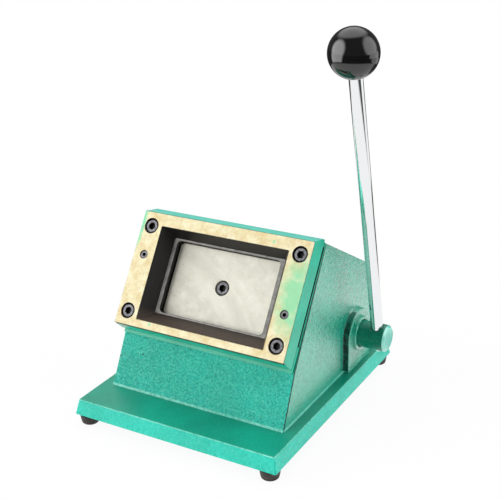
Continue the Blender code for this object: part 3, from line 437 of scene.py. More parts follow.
base = block("base_casting", base_low, base_high)
select(base, "FACE", lambda place, normal: normal.z > 0.5)
size = base_high - base_low
shrink = (1 - 2 * base_draft / size.x, 1 - 2 * base_draft / size.y, 1)
bpy.ops.transform.resize(value=shrink, center_override=(middle, 0, base_high.z))
bevel_edges(base, 1.2 * mm, 4, upright)
bevel_sharp(base, 0.7 * mm, 4)
for place in lug_places:
    drill(base, place, counterbore_radius, base_low.z - overrun, base_low.z + counterbore_depth)
    drill(base, place, screw_bore, base_low.z, base_high.z + overrun, 32)
smooth(base)
print("base:", len(base.data.polygons), "faces")

# %% [markdown]
# The body is one hollow casting. Seen from the side it has five edges: a leaning front, the sloping seat for
# the die, a roof that falls to the rear, an upright rear wall and an open foot. Slicing a block with those
# planes is quicker and truer than placing corners by hand, and the same planes moved inwards give the hollow.

# %% Body: the outer block
side_draft = math.radians(1.0)
roof_slope = math.radians(29.0)
body_half = 71.4 * mm
body_front = -66.7 * mm
body_rear = 87.0 * mm
seat_depth = 18.9 * mm
seat_foot_rise = -47.0 * mm
seat_top_rise = 46.1 * mm
wall = 7.0 * mm
seat_wall = 10.0 * mm


def on_face(x, rise, depth):
    """A place given across the die face, up it and behind it."""
    return face_place @ Vector((x, rise, -depth))


seat_foot = on_face(0, seat_foot_rise, seat_depth)
seat_top = on_face(0, seat_top_rise, seat_depth)
front_run = seat_foot - Vector((middle, body_front, body_foot))
front_normal = Vector((0, -front_run.z, front_run.y)).normalized()
roof_normal = Vector((0, math.sin(roof_slope), math.cos(roof_slope)))
side_normals = [Vector((side * math.cos(side_draft), 0, math.sin(side_draft))) for side in (-1, 1)]


def body_block(name, foot, side_wall, face_wall):
    """The body's block, or its hollow when the walls are more than nothing; it reaches below the foot."""
    low = (middle - body_half - overrun, body_front - overrun, body_foot - foot)
    thing = block(name, low, (middle + body_half + overrun, body_rear - side_wall, seat_top.z + overrun))
    slice_off(thing, seat_foot - front_normal * side_wall, front_normal)
    slice_off(thing, seat_foot - outward * face_wall, outward)
    slice_off(thing, seat_top - roof_normal * side_wall, roof_normal)
    for side, normal in zip((-1, 1), side_normals):
        edge = Vector((middle + side * body_half, 0, body_foot))
        slice_off(thing, edge - normal * side_wall, normal)
    return thing


body = body_block("body_casting_painted", overrun, 0, 0)
print("body block:", len(body.data.polygons), "faces")

# %% [markdown]
# On each side stands a bearing pad, round at the top and straight down to the base. Pads, bosses and lugs are
# joined on, and the hollow, the bores, the rear window and the seat's openings are cut out. All of this is
# done while the block still has plain flat faces, because a Boolean is surest on those, and the edges are
# rounded only at the end.

# %% Body: pads, hollow and bores
pad_radius = 19.1 * mm
pad_face = 76.2 * mm
pad_root = 64.2 * mm
boss_radius = 17.0 * mm
boss_depth = 11.0 * mm
bush_radius = 12.6 * mm
lug_radius = 9.0 * mm
lug_height = 22.0 * mm


def half_width(z):
    """Half the body's width at a height."""
    return body_half - (z - body_foot) * math.tan(side_draft)


def between(name, radius, x_low, x_high, segments=96):
    """A bar along X through the shaft's axis."""
    return lay(rod(name, radius, x_low, x_high, segments), Matrix.Translation(shaft_place) @ along_x)


for side in (-1, 1):
    x = sorted((side * pad_root, side * pad_face))
    pad = between("pad", pad_radius, x[0], x[1], 72)
    low = (middle + x[0], shaft_place.y - pad_radius, body_foot - overrun / 2)
    combine(pad, block("foot", low, (middle + x[1], shaft_place.y + pad_radius, shaft_place.z)), "UNION")
    combine(body, pad, "UNION")
combine(body, body_block("hollow", 2 * overrun, wall, seat_wall))
for side in (-1, 1):
    inside = half_width(shaft_place.z) - wall
    ends = sorted((side * (inside + wall / 2), side * (inside - boss_depth)))
    combine(body, between("boss", boss_radius, ends[0], ends[1]), "UNION")
for place in lug_places:
    drill(body, place, lug_radius, body_foot - overrun / 4, body_foot + lug_height, operation="UNION")
    drill(body, place, screw_radius + gap, body_foot - overrun, body_foot + lug_height - overrun, 32)
combine(body, between("bore", bush_radius + gap, -pad_face - overrun, pad_face + overrun))

# %% Body: rear window and seat
window_half = 46.0 * mm
window_low = body_foot + 15.0 * mm
window_high = body_foot + 53.0 * mm
window_corner = 9.0 * mm
passage_clearance = 0.35 * mm
card_width = 85.6 * mm
card_height = 54.0 * mm
card_corner = 3.18 * mm
pin_span = 52.0 * mm
pin_radius = 6.0 * mm
seat_far = -seat_depth - seat_wall - overrun


def card_block(name, clear, low, high):
    """A block with the card's outline, larger all round by a clearance."""
    half = Vector((card_width / 2 + clear, card_height / 2 + clear))
    thing = block(name, (-half.x, -half.y, low), (half.x, half.y, high))
    bevel_edges(thing, card_corner + clear, 8, upright)
    return thing


rear = block(
    "rear", (middle - window_half, body_rear - wall - overrun, window_low),
    (middle + window_half, body_rear + overrun, window_high),
)
bevel_edges(rear, window_corner, 8, lambda a, b: abs(a.y - b.y) > wall)
combine(body, rear)
combine(body, lay(card_block("passage", passage_clearance, seat_far, -seat_depth + overrun), face_place))
for side in (-1, 1):
    bore = rod("bore", pin_radius + gap, seat_far, -seat_depth + overrun)
    combine(body, lay(bore, face_place @ about(side * pin_span, 0, 0)))
slice_off(body, (0, 0, body_foot), (0, 0, -1))
print("body cut:", len(body.data.polygons), "faces")

# %% [markdown]
# Molten iron can't fill a sharp corner, so a small fillet runs round each pad where it meets the wall, and
# every outer edge is worn round by the grinder. An edge of the block lies on two of its outer planes at
# once, which is how the edges to bevel are found. Where the body stands on the base the paint has gathered
# in a bead; a ring of edges is cut just above the foot, and the foot's own outline is drawn out a little
# below it.

# %% Body: rounded edges
outer_planes = {
    "front": (seat_foot, front_normal),
    "seat": (seat_foot, outward),
    "roof": (seat_top, roof_normal),
    "rear": (Vector((0, body_rear, 0)), Vector((0, 1, 0))),
    "left": (Vector((middle - body_half, 0, body_foot)), side_normals[0]),
    "right": (Vector((middle + body_half, 0, body_foot)), side_normals[1]),
    "foot": (Vector((0, 0, body_foot)), Vector((0, 0, -1))),
}


def planes_at(point):
    """The outer planes that a point lies on."""
    return {name for name, (place, normal) in outer_planes.items() if abs((point - place).dot(normal)) < near}


def from_shaft(point):
    """How far a point lies from the shaft's axis."""
    return math.hypot(point.y - shaft_place.y, point.z - shaft_place.z)


def on_pad_outline(point):
    """True for a point on the pad's round top or on its straight sides."""
    if point.z > shaft_place.z:
        return abs(from_shaft(point) - pad_radius) < 0.1 * mm
    return abs(abs(point.y - shaft_place.y) - pad_radius) < 0.1 * mm


def at_pad_root(a, b):
    """True for an edge where a pad meets the wall."""
    walls = planes_at(a) & planes_at(b) & {"left", "right"}
    return bool(walls) and on_pad_outline(a) and on_pad_outline(b)


def on_pad_face(point):
    """True for a point of a pad's face, away from its bore."""
    return abs(abs(point.x - middle) - pad_face) < near and from_shaft(point) > bush_radius + overrun / 2


def is_outer_edge(a, b):
    """True for the block's outer edges and the pads' rims, but not for the foot."""
    shared = planes_at(a) & planes_at(b)
    return len(shared - {"foot"}) >= 2 or on_pad_face(a) and on_pad_face(b)


def on_window_rim(a, b):
    """True for an edge of the rear window on the wall's outside."""
    return "rear" in planes_at(a) & planes_at(b) and len(planes_at(a) | planes_at(b)) == 1


join_flat(body, near, 0.2)
bevel_edges(body, 1.0 * mm, 3, at_pad_root)
bevel_edges(body, 0.8 * mm, 3, on_window_rim)
bevel_edges(body, 0.9 * mm, 3, is_outer_edge)

bead_height = 1.3 * mm
bead_reach = 0.9 * mm
slice_off(body, (0, 0, body_foot + bead_height), (0, 0, 1), away=False)


def at_outer_foot(a, b):
    """True for an edge of the foot's outline, but not of the hollow, the lugs or the bores."""
    low = max(a.z, b.z) < body_foot + near
    side = half_width(body_foot) - near
    return low and all(planes_at(p) - {"foot"} or abs(p.x - middle) > side for p in (a, b))


select(body, "EDGE", at_outer_foot)
grow = (1 + bead_reach / body_half, 1 + bead_reach / body_rear, 1)
bpy.ops.transform.resize(value=grow, center_override=(middle, 0, body_foot))
bpy.ops.object.mode_set(mode="OBJECT")
smooth(body)
print("body:", len(body.data.polygons), "faces")

# %% Paint the castings
def paint(thing, *materials):
    """Gives a piece its finishes, in slots."""
    thing.data.materials.clear()
    for material in materials:
        thing.data.materials.append(material)


def give(thing, material, test):
    """Gives one of a piece's finishes to the faces whose middle and normal pass a test."""
    select(thing, "FACE", test)
    thing.active_material_index = thing.data.materials.find(material.name)
    bpy.ops.object.material_slot_assign()
    bpy.ops.object.mode_set(mode="OBJECT")


def complete(thing, place, *materials):
    """Lays a piece in its place, shades it and gives it its finishes."""
    lay(thing, place)
    smooth(thing)
    paint(thing, *materials)


def dark_enamel_patches(name, fade=None):
    """Enamel darkened in broken patches, along edges and as painted shade on the pads' walls; it may be whole
    green again above a height.
    """
    material, tree, shader, place = start(name, 0.35, IOR=1.5)
    broken = add(tree, "MapRange", add(tree, "TexNoise", place, per(3 * mm), 4.0, 0.7), 0.45, 0.65)
    if fade:
        height = add(tree, "SeparateXYZ", place).node.outputs["Z"]
        patches = add(tree, "TexNoise", place, per(2 * mm), 3.0)
        ragged = add(tree, "Math", patches, 14 * mm, height, operation="MULTIPLY_ADD")
        whole = add(tree, "MapRange", ragged, fade, fade + 6 * mm)
        broken = add(tree, "Math", broken, whole, operation="MAXIMUM")
    colour = add(tree, "Mix", broken, "#072A24", "#0A7A66", data_type="RGBA")
    bump = add(tree, "Bump", Height=add(tree, "TexNoise", place, per(0.9 * mm)), Distance=0.3 * mm)
    fill(shader, Base_Color=colour, Normal=bump)
    return material


def on_corner(place, normal):
    """True on the rounded corner where the right side meets the seat or the front."""
    level = place.z > body_foot + bead_height
    return level and 0.5 < normal.x < 0.985 and normal.y < -0.1 and place.y < seat_top.y


def on_bead(place, normal):
    """True on the bead of paint round the body's foot."""
    return body_foot < place.z < body_foot + bead_height and abs(normal.z) < 0.9 and (
        abs(place.x - middle) > half_width(body_foot) - gap or place.y < body_front + overrun / 4
    )


paint(base, skirt_enamel, shaded_plate_enamel, highlight_edge_enamel)
# Painted shade: the base's top takes a darker copy of the green.
give(base, shaded_plate_enamel, lambda place, normal: normal.z > 0.9)
# Painted highlight: the bevel along the base's top takes a pale green.
give(base, highlight_edge_enamel, lambda place, normal: 0.3 < normal.z < 0.95 and place.z > base_high.z - 1.5 * mm)
dark_edge_enamel = dark_enamel_patches("enamel_darkened_on_edges")
pad_shade_enamel = dark_enamel_patches("enamel_painted_shade_on_pad_walls", 60 * mm)
paint(body, filed_enamel, rough_enamel, dark_edge_enamel, highlight_edge_enamel, pad_shade_enamel)
# Painted light: the front faces take the lighter, bluer copy of the green.
give(body, rough_enamel, lambda place, normal: normal.y < -0.5 and place.y < seat_foot.y + wall)
# The rounded corner is painted darker in broken patches.
give(body, dark_edge_enamel, on_corner)
# Painted shade: the pads' front walls, in the corner against the side wall, are painted dark up to about 60
# mm.
give(body, pad_shade_enamel, lambda place, normal: (
    normal.y < -0.3 and abs(place.x - middle) > half_width(place.z) + gap and abs(place.y) < shaft_place.y
    and abs(place.x - middle) < pad_face - 0.7 * mm
))
# Painted highlight: the bead round the body's foot takes a pale green.
give(body, highlight_edge_enamel, on_bead)

# %% [markdown]
# The die block is a slab of tool steel. Its window flares from the narrow land that does the cutting out to
# the face, so that a card can be seen and lined up.

# %% Die block
die_half_width = 69.5 * mm
die_half_height = 42.5 * mm
die_thickness = 15.5 * mm
top_rise = 5.3 * mm
top_run = 13.5 * mm
foot_rise = 2.1 * mm
foot_run = 11.0 * mm
land_top = -11.9 * mm
mouth_half = Vector((52.2 * mm, 35.0 * mm))
mouth_drop = 1.8 * mm
floor_half = Vector((45.7 * mm, 28.4 * mm))
screw_span = Vector((61.0 * mm, 32.15 * mm))
dowel_span = Vector((60.8 * mm, -10.3 * mm))
dowel_radius = 3.0 * mm
head_sink = 0.8 * mm
bare_depth = 2.8 * mm
screw_places = [Vector((x * screw_span.x, y * screw_span.y, 0)) for y in (1, -1) for x in (-1, 1)]
dowel_places = [Vector((side * dowel_span.x, side * dowel_span.y, 0)) for side in (-1, 1)]

die = block(
    "die_block_ground", (-die_half_width, -die_half_height - foot_rise, -die_thickness),
    (die_half_width, die_half_height + top_rise, 0),
)
slice_off(die, (0, die_half_height, 0), (0, top_run, top_rise))
slice_off(die, (0, -die_half_height, 0), (0, -foot_run, foot_rise))
slice_off(die, (0, 0, -bare_depth), (0, 0, 1), away=False)
bevel_sharp(die, 0.5 * mm, 3)

flare = block("flare", (-floor_half.x, -floor_half.y, land_top), (floor_half.x, floor_half.y, 0))
select(flare, "FACE", lambda place, normal: normal.z > 0.5)
bpy.ops.transform.resize(value=(mouth_half.x / floor_half.x, mouth_half.y / floor_half.y, 1))
bpy.ops.transform.translate(value=(0, -mouth_drop, 0))
bpy.ops.mesh.extrude_region_move(TRANSFORM_OT_translate={"value": (0, 0, overrun)})
bevel_edges(flare, 0.8 * mm, 3, lambda a, b: upright(a, b) and min(a.z, b.z) < -gap)
combine(die, flare)
combine(die, card_block("opening", 0, -die_thickness - overrun, land_top + overrun))
for place in screw_places:
    drill(die, place, counterbore_radius, -counterbore_depth, overrun)
    drill(die, place, screw_bore, -die_thickness - overrun, 0, 32)
for place in dowel_places:
    drill(die, place, dowel_radius + gap, -die_thickness - overrun, overrun)


def on_rim(point):
    """True for a point of the front face on the rim of the window or of a hole."""
    inside = abs(point.x) < die_half_width - wall / 2 and abs(point.y) < die_half_height - wall / 2
    return abs(point.z) < near / 2 and inside


def on_cutting_edge(a, b):
    """True for an edge round the card opening, at the land."""
    half_x, half_y = card_width / 2 + near, card_height / 2 + near
    return all(abs(p.z - land_top) < near and abs(p.x) < half_x and abs(p.y) < half_y for p in (a, b))


def on_mouth(point):
    """True for a point on the outline of the window's mouth."""
    side = abs(abs(point.x) - mouth_half.x) < near
    return side or abs(abs(point.y + mouth_drop) - mouth_half.y) < near


bevel_edges(die, 0.25 * mm, 2, lambda a, b: (
    on_rim(a) and on_rim(b) and ((a - b).length < 1.5 * mm or on_mouth(a) and on_mouth(b))
))
bevel_edges(die, 0.15 * mm, 1, on_cutting_edge)
smooth(die)
print("die block:", len(die.data.polygons), "faces")

# %% [markdown]
# The face of the die is surface ground and then tempered with a flame, which tints the steel straw and tan in
# clouds. The spray gun has left a green haze down its right edge and a thin one at its upper left corner, and
# there are two stray specks. The stains are soft noise at several sizes, and each haze is one soft spot,
# measured in millimetres on the face, that the noise breaks up.

# %% Straw-coloured steel of the die face
straw_pale = "#F1E9C4"
straw_tan = "#E0CC92"
straw_brown = "#B9A06A"
haze_green = "#7FDCA6"


def face_coordinates(tree, place):
    """The place on a piece, measured across the die face, up it and out of it."""
    return add(tree, "Mapping", place, face_centre, (math.pi / 2 - face_tilt, 0, 0), vector_type="TEXTURE")


def soft_spot(tree, flat, across, up, width, height):
    """A round or oval spot on the face that is full in its middle and fades to nothing at its rim."""
    centre = (across * mm, up * mm, 0)
    reach = (width * mm, height * mm, 200 * mm)
    centred = add(tree, "Mapping", flat, centre, Scale=reach, vector_type="TEXTURE")
    return add(tree, "TexGradient", centred, gradient_type="SPHERICAL").node.outputs["Fac"]


def die_face_steel():
    """Ground tool steel with tempering colours, a haze of green and fine grinding lines."""
    material, tree, shader, place = start("tempered_tool_steel", 0.42, 0.05)
    flat = face_coordinates(tree, place)
    clouds = add(tree, "TexNoise", flat, per(9 * mm), 5.0, 0.7)
    colour = tinted(tree, clouds, 0.38, 0.62, straw_pale, straw_tan)
    spots = add(tree, "TexNoise", flat, per(2.5 * mm), 4.0)
    colour = tinted(tree, spots, 0.58, 0.80, colour, straw_brown, 0.45)
    ragged = add(tree, "TexNoise", flat, per(6 * mm), 4.0, 0.6)
    fine = add(tree, "TexNoise", flat, per(1 * mm))
    # Each haze: its middle and its half width and height in millimetres, the noise that breaks it up, and the
    # values between which it fades in, up to its last share of green.
    hazes = (
        (65, 3, 17, 38, ragged, 0.04, 0.34, 0.85),
        (-72, 32, 7, 30, ragged, 0.06, 0.20, 1.0),
        (39.5, 37.3, 1.6, 1.6, fine, 0.10, 0.22, 0.8),
        (-40.0, -38.5, 1.6, 1.6, fine, 0.10, 0.22, 0.8),
    )
    for across, up, width, height, broken, low, high, most in hazes:
        spot = soft_spot(tree, flat, across, up, width, height)
        spot = add(tree, "Math", spot, broken, operation="MULTIPLY")
        colour = tinted(tree, spot, low, high, colour, haze_green, most)
    drawn_out = add(tree, "Mapping", flat, Scale=(0.05, 1.0, 1.0))
    lines = add(tree, "Bump", Height=add(tree, "TexNoise", drawn_out, per(0.6 * mm)), Distance=0.02 * mm)
    sheen = add(tree, "MapRange", clouds, 0.2, 0.8, 0.34, 0.52)
    fill(shader, Base_Color=colour, Normal=lines, Roughness=sheen)
    return material


tempered_steel = die_face_steel()

# %% [markdown]
# Inside the window the steel was never ground again after hardening. It is nearly black, and along its foot,
# which faces the light from above, it is painted lighter and browner as painted light. The land at the bottom
# is bare grey steel with a bright cutting edge.

# %% Scaled and bare steel
def scaled_steel(name, dark, lit_brown):
    """Scale left by hardening, painted lighter and browner on the window's foot as painted light."""
    material, tree, shader, place = start(name, 0.5, 0.1)
    flecks = add(tree, "TexNoise", place, per(3 * mm), 5.0, 0.7)
    up = add(tree, "SeparateXYZ", face_coordinates(tree, place)).node.outputs["Y"]
    # Painted light: the window's foot, which faces up, is painted browner and lighter, broken up by the
    # flecks.
    lit_foot = add(tree, "MapRange", up, -26 * mm, -32 * mm)
    rubbed = add(tree, "MapRange", flecks, 0.2, 0.6, 0.5, 1.0)
    share = add(tree, "Math", lit_foot, rubbed, operation="MULTIPLY")
    colour = add(tree, "Mix", share, dark, lit_brown, data_type="RGBA")
    fill(shader, Base_Color=colour, Normal=add(tree, "Bump", Height=flecks, Distance=0.08 * mm))
    return material


def bare_steel(name, pale, dark, roughness, metallic, patch, groove):
    """Machined steel with soft stains and fine tool marks."""
    material, tree, shader, place = start(name, roughness, metallic)
    clouds = add(tree, "TexNoise", place, per(patch), 5.0, 0.6)
    colour = tinted(tree, clouds, 0.35, 0.68, pale, dark)
    marks = add(tree, "Bump", Height=add(tree, "TexNoise", place, per(0.5 * mm)), Distance=groove / 2)
    sheen = add(tree, "MapRange", clouds, 0.2, 0.8, roughness - 0.08, roughness + 0.1)
    fill(shader, Base_Color=colour, Normal=marks, Roughness=sheen)
    return material


window_steel = scaled_steel("hardening_scale_on_steel", "#181412", "#4E4239")
# Near black for the deep slot, the opening and the passage: painted shade.
shade_black_steel = scaled_steel("steel_black_as_painted_shade", "#0B0B0B", "#141312")
land_steel = bare_steel("ground_land_steel", "#8E8D88", "#6A6864", 0.42, 0.3, 5 * mm, 0.02 * mm)
bare_and_shaded_steel = bare_steel("steel_edge_bare_and_painted_shade", "#4A4B46", "#1E1F1C", 0.4, 0.5, 4 * mm, 0.03 * mm)
print("steels:", tempered_steel.name, window_steel.name, land_steel.name)

# %% Finish the die block
lay(die, face_place)
face_inverse = face_place.inverted()


def in_face(place):
    """A place of the scene measured on the die face."""
    return face_inverse @ place


def in_window(place, low, high):
    """True inside the window's outline between two depths."""
    point = in_face(place)
    inside = abs(point.x) < mouth_half.x + gap and abs(point.y + mouth_drop) < mouth_half.y + gap
    return inside and low < point.z < high


def near_hole(place, places, reach):
    """True close to the middle of one of the holes."""
    return min((in_face(place).xy - p.xy).length for p in places) < reach


def on_bare_and_shaded_rim(place):
    """True down the left edge of the face, where the paint is gone, and along its foot, which is painted dark
    as shade.
    """
    point = in_face(place)
    return point.x < -die_half_width + 0.6 * mm or point.y < -die_half_height + 0.4 * mm


bright_depth = 0.06 * mm
rim_depth = 0.35 * mm
land_high = land_top + 0.1 * mm
land_low = land_top - 0.25 * mm
paint(
    die, sprayed_enamel, tempered_steel, window_steel, land_steel, shade_black_steel, bare_and_shaded_steel,
    dark_edge_enamel, lit_top_enamel,
)
# Painted light: the die's top strip, which faces the light from above, takes a pale copy of the green.
give(die, lit_top_enamel, lambda place, normal: normal.z > 0.9 and in_face(place).y > die_half_height)
# The bevel round the face's rim is painted darker in broken patches.
give(die, dark_edge_enamel, lambda place, normal: in_face(place).z > -rim_depth)
# Bare steel down the left edge; along the foot the same dark steel is painted shade.
give(die, bare_and_shaded_steel, lambda place, normal: on_bare_and_shaded_rim(place) and in_face(place).z > -bare_depth)
give(die, tempered_steel, lambda place, normal: in_face(place).z > -bright_depth)
give(die, window_steel, lambda place, normal: in_window(place, land_high, -near))
give(die, land_steel, lambda place, normal: in_window(place, land_low, land_high))
# Painted shade: the opening below the land and the die's back are painted black.
give(die, shade_black_steel, lambda place, normal: in_window(place, -die_thickness - gap, land_low))
give(die, shade_black_steel, lambda place, normal: normal.dot(outward) < -0.9)
for places, reach in ((screw_places, counterbore_radius), (dowel_places, dowel_radius)):
    give(die, window_steel, lambda place, normal: (
        in_face(place).z < -near and near_hole(place, places, reach + 0.25 * mm)
    ))
body.data.materials.append(shade_black_steel)
# Painted shade: the passage in the body's seat is painted black.
give(body, shade_black_steel, lambda place, normal: (
    in_window(place, -seat_depth - seat_wall, -seat_depth) and abs(normal.dot(outward)) < 0.5
))

# %% [markdown]
# The guide plate between the die and the casting is painted only round its outside. A wide slot is milled
# across its front: the sheet to be cut slides in there from the side, and its floor is coloured black as
# painted shade.

# %% Guide plate
plate_front = -die_thickness - 0.3 * mm
slot_floor = -17.15 * mm
plate_back = -18.6 * mm
slot_top = 43.0 * mm
slot_foot = -28.5 * mm

guide = block(
    "guide_plate_milled", (-die_half_width, seat_foot_rise, plate_back),
    (die_half_width, seat_top_rise, plate_front),
)
mill_half = die_half_width + overrun
mill = block("mill", (-mill_half, slot_foot, slot_floor), (mill_half, slot_top, plate_front + overrun))
combine(guide, mill)
combine(guide, card_block("opening", 0, plate_back - overrun, slot_floor + overrun))
for place in screw_places:
    drill(guide, place, screw_bore, plate_back - overrun, overrun, 32)
for place in dowel_places:
    drill(guide, place, dowel_radius + gap, plate_back - overrun, overrun, 32)
bevel_edges(guide, 0.2 * mm, 2, lambda a, b: (
    abs(abs(a.x) - die_half_width) < near and abs(abs(b.x) - die_half_width) < near and abs(a.x - b.x) < near
))
complete(guide, face_place, sprayed_enamel, shade_black_steel, highlight_edge_enamel)
# These faces below the slot take the same pale green painted as highlight.
give(guide, highlight_edge_enamel, lambda place, normal: normal.z < -0.5 and in_face(place).y < slot_foot)
give(guide, shade_black_steel, lambda place, normal: (
    in_window(place, plate_back - gap, slot_floor)
    or in_face(place).z < plate_front - gap and abs(normal.x) < 0.9 and abs(in_face(place).y) < slot_top + gap
))
print("guide plate:", len(guide.data.polygons), "faces")

# %% [markdown]
# The punch is a hardened block with the card's own outline. Its face is ground too, but greyer, with the wide
# swirls of the grinding wheel and a few stains.

# %% Punch
punch_front = -17.4 * mm
punch_length = 32.0 * mm
punch_half = Vector((42.55 * mm, 26.75 * mm))
punch_corner = 2.93 * mm

punch = block(
    "punch_ground", (-punch_half.x, -punch_half.y, punch_front - punch_length),
    (punch_half.x, punch_half.y, punch_front),
)
bevel_edges(punch, punch_corner, 8, upright)
bevel_edges(punch, 0.2 * mm, 2, lambda a, b: abs(a.z - punch_front) < gap and abs(b.z - punch_front) < gap)
drill(punch, (0, 0, 0), counterbore_radius, punch_front - counterbore_depth, punch_front + overrun)
drill(punch, (0, 0, 0), screw_bore, punch_front - punch_length - overrun, punch_front, 32)
bevel_edges(punch, 0.2 * mm, 2, lambda a, b: all(
    abs(p.z - punch_front) < near / 2 and p.xy.length < counterbore_radius + 2.35 * mm for p in (a, b)
))


def punch_face_steel():
    """Ground steel with arcs from the grinding wheel, and small brown specks."""
    material, tree, shader, place = start("ground_and_lapped_steel", 0.42, 0.05)
    flat = face_coordinates(tree, place)
    clouds = add(tree, "TexNoise", flat, per(9 * mm), 5.0, 0.6)
    colour = tinted(tree, clouds, 0.35, 0.68, "#F4F2E3", "#E3E0CE")
    from_wheel = add(tree, "VectorMath", flat, (-70 * mm, -90 * mm, 0), operation="DISTANCE")
    ring = add(tree, "CombineXYZ", from_wheel, add(tree, "Math", clouds, 16 * mm, operation="MULTIPLY"))
    arcs = add(tree, "TexNoise", ring, per(2.2 * mm), 4.0, 0.7)
    wide = add(tree, "TexNoise", ring, per(14 * mm))
    specks = add(tree, "TexNoise", flat, per(2.0 * mm), 3.0)
    colour = tinted(tree, wide, 0.42, 0.62, colour, "#D3D1C2", 0.5)
    colour = tinted(tree, arcs, 0.48, 0.75, colour, "#F6F4E8", 0.4)
    colour = tinted(tree, specks, 0.70, 0.78, colour, "#9A8558", 0.7)
    bump = add(tree, "Bump", Height=arcs, Distance=0.01 * mm)
    fill(shader, Base_Color=colour, Normal=bump, Roughness=add(tree, "MapRange", clouds, 0.2, 0.8, 0.36, 0.5))
    return material


complete(punch, face_place, punch_face_steel())
print("punch:", len(punch.data.polygons), "faces")

# %% [markdown]
# Socket cap screws are blackened in a hot salt bath. The bath leaves a film so thin that the tool marks and
# the rubbed rims still shine through it as dark grey; the heads' tops are also painted lighter as painted
# highlight, and the sockets near black as painted shade. One screw is modelled, and the rest are copies of
# it.

# %% Black screws
def black_oxide(name, dark, pale, roughness, metallic):
    """Black oxide on steel, rubbed grey in places."""
    material, tree, shader, place = start(name, roughness, metallic)
    wear = add(tree, "TexNoise", place, per(1.6 * mm), 4.0)
    colour = tinted(tree, wear, 0.42, 0.72, dark, pale)
    fill(shader, Base_Color=colour, Normal=add(tree, "Bump", Height=wear, Distance=0.02 * mm))
    return material


black_steel = black_oxide("black_oxide_on_steel", "#1B1B1C", "#4A4A4A", 0.45, 0.5)
rubbed_and_lit_steel = black_oxide("black_oxide_rubbed_and_painted_lit", "#5C5C60", "#8A8A8E", 0.38, 0.4)
socket_shade_steel = black_oxide("black_oxide_painted_dark_as_shade", "#070707", "#141414", 0.6, 0.0)


def cap_screw(
    name, length, head_radius=screw_head_radius, head_height=screw_head_height, shank_radius=screw_radius,
    flats=5 * mm, depth=3 * mm,
):
    """A socket cap screw whose head's top lies at zero and whose shank points down."""
    foot = -head_height - length
    chamfer = head_radius * 0.12
    section = [
        (0, 0), (head_radius - chamfer, 0), (head_radius, -chamfer), (head_radius, -head_height),
        (shank_radius, -head_height), (shank_radius, foot + chamfer), (shank_radius - chamfer, foot),
        (0, foot),
    ]
    screw = turned(name, rounded(section, 0.15 * mm, 2), 48)
    across = flats / math.cos(math.pi / 6) / 2
    combine(screw, rod("key", across, -depth, depth, 6))
    bevel_edges(screw, 0.12 * mm, 2, lambda a, b: all(
        p.xy.length < across * 1.02 and p.z > -gap for p in (a, b)
    ))
    smooth(screw)
    paint(screw, black_steel, rubbed_and_lit_steel, socket_shade_steel)
    skin = 0.1 * mm
    # Partly rubbed steel, partly painted highlight: the head's top faces up to the light.
    give(screw, rubbed_and_lit_steel, lambda place, normal: normal.z > 0.5 and place.z > -skin)
    # Painted shade: the socket is painted near black.
    give(screw, socket_shade_steel, lambda place, normal: (
        place.xy.length < across and -depth - gap < place.z < -skin
    ))
    return screw


# Every finished piece, by the name of the solid whose place it takes.
pieces = {}


def numbered(first, node, name, matrices):
    """Lays a copy of a piece in each place that the numbered solids have, and throws the first one away."""
    for number, matrix in enumerate(matrices, 1):
        pieces[f"{node}_{number}"] = copied(first, f"{name}_{number}", matrix)
    bpy.data.objects.remove(first)


flip = Matrix.Rotation(math.pi, 4, "X")
screw_turn = math.radians(17)
numbered(cap_screw("die_screw", 19.7 * mm), "die_screw", "die_cap_screw", [
    face_place @ about(place.x, place.y, -head_sink) @ Matrix.Rotation(number * screw_turn, 4, "Z")
    for number, place in enumerate(screw_places, 1)
])
numbered(cap_screw("base_screw", 16 * mm), "base_screw", "base_cap_screw", [
    about(place.x, place.y, base_low.z + head_sink) @ flip for place in lug_places
])
pieces["punch_screw"] = cap_screw("punch_cap_screw", 34 * mm)
lay(pieces["punch_screw"], face_place @ about(0, 0, punch_front - head_sink))
print("screws:", len(pieces))

# %% Dowels
dowel_length = 24.5 * mm
dowel_tip = dowel_radius - 0.4 * mm
dowel_bore = 1.4 * mm
dowel_bore_foot = -6 * mm
dowel = turned("dowel", [
    (0, dowel_bore_foot), (dowel_bore, dowel_bore_foot), (dowel_bore, 0), (dowel_tip, 0),
    (dowel_radius, -0.4 * mm), (dowel_radius, 0.4 * mm - dowel_length), (dowel_tip, -dowel_length),
    (0, -dowel_length),
], 48)
smooth(dowel)
paint(dowel, rubbed_and_lit_steel, socket_shade_steel)
# Painted shade: the dowel's bore is painted near black.
give(dowel, socket_shade_steel, lambda place, normal: place.xy.length < dowel_bore + 0.1 * mm)
numbered(dowel, "die_dowel", "die_ground_dowel", [
    face_place @ about(place.x, place.y, -0.5 * mm) for place in dowel_places
])

# %% [markdown]
# The lever's shaft is painted with the body. Its end has a wide chamfer, and the rod passes through a cross
# hole whose lip shows as a small dark bow. A flanged bush lines each pad, and a ring holds the shaft's far
# end.

# %% Shaft, bushes and ring
shaft_radius = 10.25 * mm
shaft_end = 99.6 * mm
end_chamfer = 1.7 * mm
groove_radius = 9.25 * mm
lever_plane = 90.9 * mm
lever_lean = math.radians(14.6)
rod_radius = 4.75 * mm
arm_foot = shaft_place + Vector((lever_plane, 0, 0))
arm_place = Matrix.Translation(arm_foot) @ Matrix.Rotation(lever_lean, 4, "X")
shaft_frame = Matrix.Translation(shaft_place) @ along_x
left_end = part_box("lever_shaft")[0].x - middle
ring_low, ring_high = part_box("retaining_ring")
groove_low = ring_low.x - middle - gap
groove_high = ring_high.x - middle + gap

